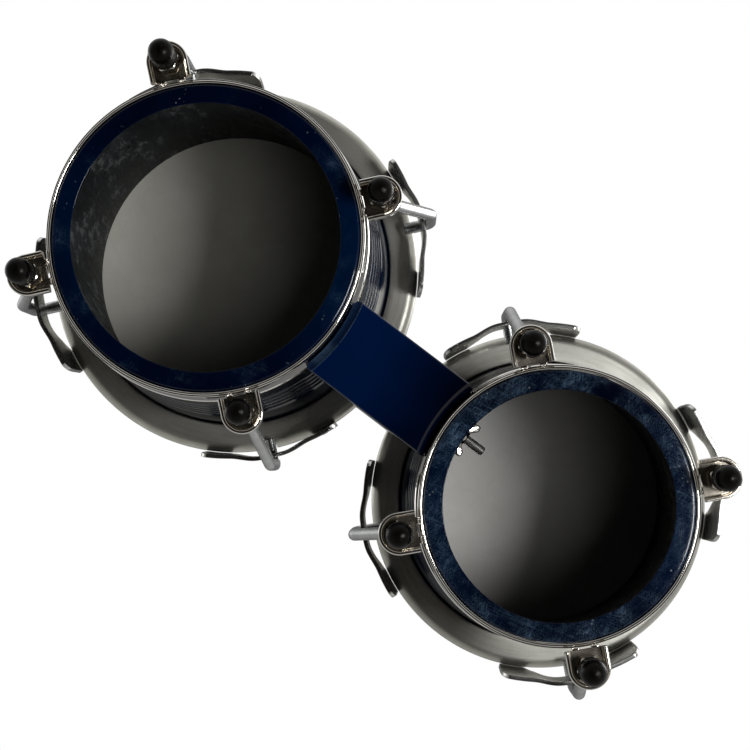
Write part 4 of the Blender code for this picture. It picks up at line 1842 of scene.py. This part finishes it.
    def plate_welds(self, drum: Drum) -> Mesh:
        """Two spot welds on each end of a side plate.

        Args:
            drum: Which drum.

        Returns:
            The mesh, round the drum's axis.
        """
        spots, ways = [], []
        for side in (-1, 1):
            for z in self.weld_heights:
                a = side * (self.plate_length / 2 - self.plate_pad / 2) / self.plate_radius(drum)
                out = self.plate_face(drum, z) + self.plate_sheet
                spots.append((out * math.cos(a), out * math.sin(a), z))
                ways.append((math.cos(a), math.sin(a), 0.0))
        weld = {"radius": self.weld_radius, "height": self.weld_height}
        finish = self.pale_steel.material(drum.centre)
        return self.recipes["spots"].bake(spots_mesh(spots, ways), finish, **weld)

    def hook(self) -> Mesh:
        """A threaded rod that leans out past its side plate and turns back over it.

        Returns:
            The mesh, round its own foot.
        """
        tip = (self.hook_tip, self.hook_corners[-1][1])
        bend = rounded_path([(0, self.thread_top), *self.hook_corners, tip], self.hook_radii)
        end = np.array(bend[-1])
        back = np.array(bend[-2]) - end
        back /= np.linalg.norm(back)
        chamfer = self.rod_chamfer
        points = [(0, self.rod_foot), (0, self.rod_foot + chamfer), (0, self.thread_top - chamfer)]
        points += [*bend[:-1], tuple(end + back * chamfer), tuple(end)]
        radius = self.rod / 2
        core = (radius - THREAD_DEPTH) / radius
        thickness = [core * self.rod_end, core, core] + [1.0] * len(bend) + [1 - chamfer / radius]
        line = line_mesh([(x, 0, z) for x, z in points], thickness)
        finish = self.plating.material()
        bar = self.recipes["rod"].bake(line, finish, radius=radius, sides=32)
        height = self.thread_top - self.rod_foot - 2 * self.thread_inset
        thread = wound_thread(self.recipes["thread"], finish, radius, self.pitch, height)
        return joined(bar, lifted(thread, self.rod_foot + self.thread_inset))

    def cap_profile(self) -> list[Point]:
        """A blind rubber sleeve with a small collar at its mouth and a domed end.

        Returns:
            The section, from the axis and back to it.
        """
        radius = self.cap_diameter / 2
        bore = self.rod / 2 + self.gap
        mouth = self.cap_mouth
        floor = self.rod_foot - self.gap
        edge = self.cap_edge
        collar = self.cap_top - self.cap_collar
        points = [(0, floor), (bore, floor), (bore, self.cap_top - edge), (bore + edge, self.cap_top)]
        points += arc((radius - mouth, self.cap_top - mouth), mouth, 90, 0, 5)
        points += [(radius, collar), (radius - self.cap_step, collar - edge)]
        flat_angle = math.acos(self.cap_flat / radius)
        lift = radius * (math.sin(flat_angle) - 1)
        dome = arc((0, self.cap_tip + radius), radius - self.cap_waist, 0, -math.degrees(flat_angle), 20)[:-1]
        points += [(x, z + lift * k / 20) for k, (x, z) in enumerate(dome)]
        points += [(self.cap_flat, self.cap_tip), (0, self.cap_tip)]
        return points

    def build(self, shop: Workshop, drum: Drum) -> None:
        """Makes the whole set for one drum.

        Args:
            shop: Where its pieces go.
            drum: Which drum.
        """
        rim = moved(turned(self.rim_profile(drum)), drum.place)
        shop.add(f"{drum.name}_rim", rim, self.steel.material(drum.centre))
        hoop = moved(turned(self.hoop_profile(drum)), drum.place)
        plating = self.plating.material()
        shop.add(f"{drum.name}_flesh_hoop", hoop, plating)
        plate = joined(self.side_plate(drum), self.plate_welds(drum))
        hook = self.hook()
        cap = turned(self.cap_profile(), SMALL_ROUND_STEPS, closed=False)
        for number in LUGS:
            strip = moved(plate, drum.lug_turn(number))
            shop.add(f"{drum.name}_side_plate_{number}", strip, self.pale_steel.material(drum.centre))
            shop.add(f"{drum.name}_hook_{number}", moved(hook, drum.lug(number)), plating)
            shop.add(f"{drum.name}_cap_{number}", moved(cap, drum.lug(number)), self.rubber.material())


@dataclass
class TuningNuts:
    """The hexagonal nuts under the ears."""

    across_flats: float = 0.013
    top: float = 0.0002
    bottom: float = -0.0098
    bore: float = 0.00405
    chamfer: float = 0.0006
    face_share: float = 0.97
    turned_share: float = 0.985
    turned_slope: float = math.radians(30)
    face_edge: float = 0.0001
    steps: int = 96
    finish: Chrome = Chrome("nut_plate", (0.80, 0.765, 0.70), (0.40, 0.35, 0.29), 0.05)

    def loop(self, z: float, reach: float, flat: float = math.inf) -> list[Place]:
        """A round loop of points, held inside a hexagon.

        Args:
            z: Its height.
            reach: Its radius.
            flat: How far the hexagon's flats are from the axis.

        Returns:
            The points.
        """
        points = []
        for i in range(self.steps):
            a = math.tau * i / self.steps
            side = (a + math.pi / 6) % (math.pi / 3) - math.pi / 6
            here = min(flat / math.cos(side), reach)
            points.append((here * math.cos(a), here * math.sin(a), z))
        return points

    def mesh(self) -> Mesh:
        """A nut whose corners are turned off at both faces.

        Returns:
            The mesh, round its rod.
        """
        flat = self.across_flats / 2
        corner = flat / math.cos(math.pi / 6)
        rise = (corner - flat) * math.tan(self.turned_slope)
        narrow, wide = flat * self.turned_share, self.bore + self.chamfer
        turns = [(share, narrow + (corner - narrow) * share) for share in np.linspace(0, 1, 6)]
        loops = [self.loop(self.top - self.chamfer, self.bore), self.loop(self.top, wide)]
        loops.append(self.loop(self.top, flat * self.face_share))
        loops += [self.loop(self.top - rise * share - self.face_edge, reach, flat) for share, reach in turns]
        low = [self.loop(self.bottom + rise * share + self.face_edge, reach, flat) for share, reach in turns]
        loops += low[::-1]
        loops.append(self.loop(self.bottom, flat * self.face_share))
        loops += [self.loop(self.bottom, wide), self.loop(self.bottom + self.chamfer, self.bore)]
        return skinned(loops)

    def build(self, shop: Workshop, drum: Drum) -> None:
        """Makes the four nuts of a drum.

        Args:
            shop: Where they go.
            drum: Which drum.
        """
        nut = self.mesh()
        for number in LUGS:
            shop.add(f"{drum.name}_nut_{number}", moved(nut, drum.lug(number)), self.finish.material())


@dataclass
class CentreBlock:
    """The lacquered block between the shells, hollowed at both ends to fit them."""

    width: float = 0.048
    lift: float = 0.003
    height: float = 0.082
    chamfer: float = 0.005
    edge: float = 0.0012
    end_edge: float = 0.0002
    corner: float = 0.003
    corner_spare: float = 0.0015
    overcut: float = 0.003
    overlap: float = 0.01
    ring_height: float = RING_HEIGHT
    room: float = 0.0005
    gap: float = GAP
    ring_sheet: float = RING_SHEET
    bead: float = RING_BEAD
    end_steps: int = 256
    # Painted shade fades the block's navy along X towards the smaller drum, and a strip of painted sheen lies
    # beside the larger drum's ring.
    finish: Lacquer = Lacquer(
        "navy_block_lacquer", Wear.CLEAN, (0.0002, 0.0008, 0.0040), (0.0004, 0.0108, 0.0580), gloss=0.07,
        painted_shade_span=(-0.020, 0.040), strip=0.0959
    )

    def end_profile(self, drum: Drum) -> list[Point]:
        """What an end clears: a chamfer below, then the ring, then the shell.

        Args:
            drum: The drum that the end fits.

        Returns:
            The section, from the drum's axis and back to it.
        """
        top = self.lift + self.height + self.overcut
        ring_top = self.ring_height + self.room
        chamfer_top = self.lift + self.chamfer
        past_shell = self.gap + self.ring_sheet + self.bead + self.room
        low = drum.outside(chamfer_top) + past_shell
        return [
            (0, top),
            (drum.outside(top) + self.gap, top),
            (drum.outside(ring_top) + self.gap, ring_top),
            (drum.outside(ring_top) + past_shell, ring_top),
            (low, chamfer_top),
            (low + self.chamfer, self.lift),
            (low + self.chamfer, self.lift - self.overcut),
            (0, self.lift - self.overcut),
        ]

    def corner_cutter(self, drum: Drum, towards: int, side: int) -> Mesh:
        """What rounds one upright corner, where the hollow end meets a side.

        Args:
            drum: The drum that the end fits.
            towards: Which way along X the block lies from that drum, 1 or -1.
            side: Which side of the block, 1 or -1.

        Returns:
            The mesh, in the drum's own frame.
        """
        half = self.width / 2
        spare = self.corner_spare
        loops = []
        *upper, (_, lift), (_, below) = self.end_profile(drum)[1:-1]
        ring_edge = upper[-1][0]
        for radius, z in [*upper, (ring_edge, lift), (ring_edge, below)]:
            x = math.sqrt(radius**2 - half**2)
            ahead = (x + self.width / 2, half)
            back = (x + half * half / radius, half - half * x / radius)
            rounded = rounded_path([ahead, (x, half), back], (self.corner,), 8)[1:-1]
            outline = [(rounded[0][0], half + spare), *rounded]
            outline += [(rounded[-1][0] - spare, rounded[-1][1]), (x - spare, half + spare)]
            loops.append([(towards * a, side * b, z) for a, b in outline])
        return skinned(loops, capped=True)

    def build(self, shop: Workshop, drums: dict[DrumName, Drum]) -> None:
        """Makes the block between two drums.

        Args:
            shop: Where it goes.
            drums: Both drums.
        """
        big, small = drums[DrumName.BIG], drums[DrumName.SMALL]
        start = big.x + big.foot_radius - self.overlap
        stop = small.x - small.foot_radius + self.overlap
        base = big.foot_z + self.lift
        shape = to_shape(box((start, -self.width / 2, base), (stop, self.width / 2, base + self.height)))
        level = [e for e in shape.edges if abs(e.verts[0].co.x - e.verts[1].co.x) > self.width]
        round_edges(shape, level, self.edge, 5)
        block = from_shape("block", shape)
        ends = [turned(self.end_profile(drum), self.end_steps, closed=False) for drum in (big, small)]
        ends = [moved(end, drum.place) for end, drum in zip(ends, (big, small))]
        for drum, towards in ((big, 1), (small, -1)):
            ends += [moved(self.corner_cutter(drum, towards, side), drum.place) for side in (-1, 1)]
        mesh = bevelled(cut(block, ends), self.end_edge, 2, 30)
        middle = ((start + stop) / 2, 0.0, big.foot_z)
        shop.add("centre_block", mesh, self.finish.material(middle))


@dataclass
class Clamp:
    """The through bolt with its two washers and the wing nut inside the smaller drum."""

    recipes: dict[str, NodeRecipe]
    gap: float = GAP
    bolt: float = 0.006
    pitch: float = 0.001
    thread_length: float = 0.026
    thread_inset: float = 0.0005
    thread_spare: float = 0.0015
    bolt_edge: float = 0.0006
    head_diameter: float = 0.0135
    head_height: float = 0.0036
    head_seat: float = 0.0003
    washer_hole: float = 0.0035
    washer_thickness: float = 0.0010
    washer_round: float = 0.0004
    washer_edge: float = 0.0002
    hub: float = 0.0105
    hub_length: float = 0.0050
    hub_seat: float = 0.0008
    hub_edge: float = 0.0006
    hub_narrow: float = 0.82
    span: float = 0.0220
    wing: float = 0.0022
    wing_round: float = 0.0007
    wing_top: float = 0.0016
    wing_taper: float = math.radians(13.7)
    wing_start: float = 0.0012
    wing_rise: float = 0.0032
    wing_turn: float = math.radians(-8)
    wing_foot: float = 0.75
    wing_hip: float = 0.70
    wing_crest: float = 0.72
    wing_inset: float = 0.0004
    wing_root: float = 0.62
    wing_join: float = 0.80
    wing_lift: float = 0.001
    wing_radii: tuple[float, ...] = (0.002, 0.0015, 0.001, 0.002, 0.001)
    chrome: Chrome = Chrome()
    plating: PlatedRod = PlatedRod("zinc_bolt", (0.62, 0.62, 0.60), (0.50, 0.50, 0.48), 0.28)

    @staticmethod
    def along(x: float, z: float) -> Matrix:
        """From a piece drawn up Z to the bolt's line along X, starting at x."""
        return Matrix.Translation((x, 0, z)) @ Matrix.Rotation(math.radians(90), 4, "Y")

    def bolt_mesh(self, length: float) -> Mesh:
        """A domed bolt with a slot-free head, a plain shank and a threaded end.

        Args:
            length: The bolt's length under its head.

        Returns:
            The mesh, up Z from the head's seat.
        """
        radius = self.bolt / 2
        core = radius - THREAD_DEPTH
        head = self.head_diameter / 2
        edge = self.bolt_edge
        dome = self.head_height - edge
        plain = length - self.thread_length
        points = [(0, length), (core - edge, length), (core, length - edge), (core, plain)]
        points += [(radius, plain - edge), (radius, 0), (head - self.head_seat, 0)]
        points += [(head * math.cos(a), -edge - dome * math.sin(a)) for a in np.linspace(0, math.pi / 2, 12)]
        body = turned(points, SMALL_ROUND_STEPS, closed=False)
        height = self.thread_length - self.thread_spare
        thread = wound_thread(self.recipes["thread"], self.plating.material(), radius, self.pitch, height)
        return joined(body, lifted(thread, plain + self.thread_inset))

    def washer_mesh(self, low: float, high: float) -> Mesh:
        """A flat washer with its outer edge rounded on one side.

        Args:
            low: Height of its lowest point, as it hangs on the bolt.
            high: Height of its highest point.

        Returns:
            The mesh, with its axis along Z.
        """
        thickness = self.washer_thickness
        radius = (high - low) / 2
        edge = self.washer_round
        inner = self.washer_edge
        points = [(self.washer_hole, 0.0), (radius, 0.0)]
        points += arc((radius - edge, thickness - edge), edge, 0, 90, 4)
        points += [(self.washer_hole + inner, thickness), (self.washer_hole, thickness - inner)]
        return turned(points, SMALL_ROUND_STEPS)

    def wing_outline(self) -> list[Point]:
        """The outline of one wing, from the hub's foot round its tip and back to the hub.

        Returns:
            The outline, along X and Z.
        """
        hub, half = self.hub / 2, self.span / 2
        top = self.hub_length + self.wing_rise
        middle = (self.wing_start + top) / 2
        root = hub * self.wing_root
        corners = [(hub * self.wing_foot, self.wing_start), (half * self.wing_hip, self.wing_start)]
        corners += [(half, middle), (half, top - self.wing_inset), (half * self.wing_crest, top)]
        corners += [(root, self.hub_length * self.wing_join), (root, self.wing_start + self.wing_lift)]
        return rounded_path(corners, self.wing_radii, 5)

    def wing_nut_mesh(self) -> Mesh:
        """A tapered hub with two rounded wings.

        Returns:
            The mesh, with its seat at 0 and its axis along Z.
        """
        bore = self.bolt / 2 + self.gap
        length = self.hub_length
        foot = self.hub / 2
        neck = foot * self.hub_narrow
        section = [(bore, 0), (foot, 0), (foot, self.hub_seat), (neck, length - self.hub_edge)]
        section += [(neck - self.hub_edge, length), (bore, length)]
        wings = []
        for side in (-1, 1):
            outline = [(side * x, z) for x, z in self.wing_outline()]
            wing = bevelled(slab(outline, self.wing), self.wing_round)
            for vertex in wing.vertices:
                below = length + self.wing_rise - vertex.co.z
                half_here = self.wing_top / 2 + below * math.tan(self.wing_taper)
                vertex.co.y *= half_here / (self.wing / 2)
            wings.append(wing)
        return joined(turned(section, SMALL_ROUND_STEPS), *wings)

    def build(self, shop: Workshop) -> None:
        """Makes the bolt, its washers and its wing nut where their solids are.

        Args:
            shop: Where they go.
        """
        chrome, plating = self.chrome.material(), self.plating.material()
        low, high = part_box("through_bolt")
        z = (low.z + high.z) / 2
        head_x = low.x + self.head_height
        shop.add("through_bolt", moved(self.bolt_mesh(high.x - head_x), self.along(head_x, z)), plating)
        low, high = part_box("big_washer")
        washer = self.washer_mesh(low.z, high.z)
        turn = Matrix.Rotation(math.pi, 4, "Y")
        shop.add("big_washer", moved(washer, self.along(high.x, z) @ turn), chrome)
        low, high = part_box("small_washer")
        shop.add("small_washer", moved(washer, self.along(low.x, z)), chrome)
        low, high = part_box("wing_nut")
        place = Matrix.Translation((low.x, 0, z)) @ Matrix.Rotation(math.radians(90) + self.wing_turn, 4, "X")
        place = place @ Matrix.Rotation(math.radians(90), 4, "Y")
        shop.add("wing_nut", moved(self.wing_nut_mesh(), place), chrome)


@dataclass(frozen=True)
class Lamp:
    """A square soft lamp that lights the pair but isn't seen itself."""

    name: str
    place: Place
    aim: Place
    side: float
    watts: float
    glints: bool = True

    def hang(self) -> None:
        """Hangs the lamp in its place, facing its aim."""
        data = bpy.data.lights.new(self.name, "AREA")
        data.shape = "SQUARE"
        data.size = self.side
        data.energy = self.watts
        made = placed(self.name, data)
        made.location = self.place
        made.rotation_euler = (Vector(self.aim) - Vector(self.place)).to_track_quat("-Z", "Y").to_euler()
        made.visible_camera = False
        made.visible_glossy = self.glints


@dataclass
class Studio:
    """A plain pale floor, soft lamps, a white room and the camera under the pair."""

    camera_place: Place = (0.05227, 0.03090, -0.79904)
    camera_turn: Place = (-176.554, -1.472, -37.317)
    lens: float = 72.007
    sensor: float = 36.0
    nearest: float = 0.01
    floor_size: float = 6.0
    floor_colour: Colour = (0.86, 0.86, 0.85)
    floor_shade: float = 0.96
    floor_roughness: float = 0.75
    lamps: tuple[Lamp, ...] = (
        Lamp("key", (0.9, -1.3, 1.7), (0, 0, 0.1), 1.1, 13),
        Lamp("fill", (-1.5, 0.6, 1.2), (0, 0, 0.1), 1.2, 6),
        Lamp("under", (0.536, -0.265, -0.752), (0, 0, 0.12), 0.29, 6.3),
        Lamp("low", (0.615, -0.05, -1.727), (0, 0, 0.12), 0.61, 2.5, glints=False),
    )

    def camera(self) -> None:
        """Stands the camera where the photograph was taken from, below the pair and looking up into it."""
        data = bpy.data.cameras.new("camera")
        data.lens = self.lens
        data.sensor_width = self.sensor
        data.clip_start = self.nearest
        made = placed("camera", data)
        made.location = self.camera_place
        made.rotation_euler = [math.radians(a) for a in self.camera_turn]
        bpy.context.scene.camera = made

    def room(self) -> None:
        """Lights the pair by a room: pale round and above it, dark below, white to the camera."""
        world = bpy.data.worlds.new("room")
        bpy.context.scene.world = world
        world.use_nodes = True
        world.node_tree.nodes.clear()
        graph = Graph(world.node_tree)
        way = graph.add("ShaderNodeTexCoord", None, None, "Generated")
        _, north, height = graph.split(way)
        path = graph.add("ShaderNodeLightPath").socket.node
        camera, shine, through = (
            Signal(graph, path.outputs[f"Is {kind} Ray"]) for kind in ("Camera", "Glossy", "Transmission")
        )
        wall = graph.mix(graph.step(north, -0.7, 0.8), (1.0, 1.0, 1.0), (0.50, 0.50, 0.49))
        side = graph.mix(graph.step(height, -0.50, 0.30), (0.36, 0.355, 0.34), wall)
        upper = graph.mix(graph.step(height, 0.74, 0.93), side, (0.16, 0.16, 0.16))
        glossy = graph.mix(graph.step(height, -0.95, -0.50), (0.005, 0.004, 0.003), upper)
        soft = graph.mix(graph.step(height, -0.35, 0.25), (0.010, 0.010, 0.011), (0.62, 0.62, 0.62))
        light = graph.mix(shine, soft, glossy)
        colour = graph.mix((camera + through).most(1.0), light, (1.0, 1.0, 1.0))
        back = graph.add("ShaderNodeBackground", None, {"Color": colour, "Strength": 1.0})
        end = world.node_tree.nodes.new("ShaderNodeOutputWorld")
        graph.feed(end.inputs["Surface"], back)

    def floor(self) -> None:
        """Lays a pale floor that the pair stands on, and that is clear from below."""
        made, graph, shader = new_material("pale_floor")
        tone = graph.noise(graph.place(), 9, 3, 0.5)
        darker = tuple(c * self.floor_shade for c in self.floor_colour)
        graph.feed(shader.inputs["Base Color"], graph.mix(tone, darker, self.floor_colour))
        graph.feed(shader.inputs["Roughness"], self.floor_roughness)
        below = graph.add("ShaderNodeNewGeometry", None, None, "Backfacing")
        clear = graph.add("ShaderNodeBsdfTransparent")
        sides = {0: below, 1: Signal(graph, shader.outputs[0]), 2: clear}
        both = graph.add("ShaderNodeMixShader", None, sides)
        graph.feed(made.node_tree.nodes["Material Output"].inputs["Surface"], both)
        half = self.floor_size / 2
        around = [(-half, -half, 0), (half, -half, 0), (half, half, 0), (-half, half, 0)]
        mesh = new_mesh("floor", around, [], [(0, 1, 2, 3)])
        mesh.materials.append(made)
        plane = placed("floor", mesh)
        plane.visible_diffuse = False
        plane.visible_glossy = False
        plane.visible_shadow = False
        plane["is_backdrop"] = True

    def build(self) -> None:
        """Sets up the whole studio."""
        bpy.context.scene.view_settings.view_transform = "Standard"
        self.camera()
        self.room()
        self.floor()
        for lamp in self.lamps:
            lamp.hang()


def corners() -> list[list[float]]:
    """The shown object's box as plain lists."""
    return [list(corner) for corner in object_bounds()]


def main() -> None:
    """Builds every sub-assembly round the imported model."""
    logging.basicConfig(level=logging.INFO, format="%(name)s: %(message)s")
    for leftover in list(bpy.data.objects):
        bpy.data.objects.remove(leftover)
    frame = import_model()
    shop = Workshop(frame)
    recipes = {"rod": swept_rod_recipe(), "thread": thread_recipe(), "spots": spot_weld_recipe()}
    drums = {name: Drum.read(name) for name in DrumName}
    # Painted shade: a darker copy of the inner wall for the smaller drum, whose inside lies in shadow.
    shaded_wall_colours = (0.0012, 0.0012, 0.0014), (0.0045, 0.0048, 0.0052), (0.0100, 0.0100, 0.0098)
    shaded_wood = SlateWall("shaded_stained_wood", *shaded_wall_colours)
    # A darker navy for the smaller foot, at the shaded and the lit end of its painted sheen.
    darker_foot = ((0.0002, 0.0008, 0.0065), (0.0003, 0.0058, 0.0240))
    even_skin = Rawhide("even_rawhide", (0.69, 0.685, 0.655), (0.60, 0.59, 0.56))
    # Painted shade: a darker copy of the satin steel for the smaller drum's rim.
    shaded_steel = BrushedSteel("shaded_satin_steel", (0.53, 0.523, 0.476), (0.37, 0.364, 0.325))
    shells = {
        DrumName.BIG: Shell(Wear.LIGHT, SlateWall()),
        DrumName.SMALL: Shell(Wear.HEAVY, shaded_wood, foot_tones=darker_foot),
    }
    skins = {DrumName.BIG: Skin(Rawhide()), DrumName.SMALL: Skin(even_skin)}
    sets = {DrumName.BIG: TensionSet(recipes), DrumName.SMALL: TensionSet(recipes, steel=shaded_steel)}
    Studio().build()
    for name, drum in drums.items():
        shells[name].build(shop, drum)
        BottomRing(recipes).build(shop, drum)
        skins[name].build(shop, drum)
        sets[name].build(shop, drum)
        TuningNuts().build(shop, drum)
    CentreBlock().build(shop, drums)
    Clamp(recipes).build(shop)


if __name__ == "__main__":
    main()
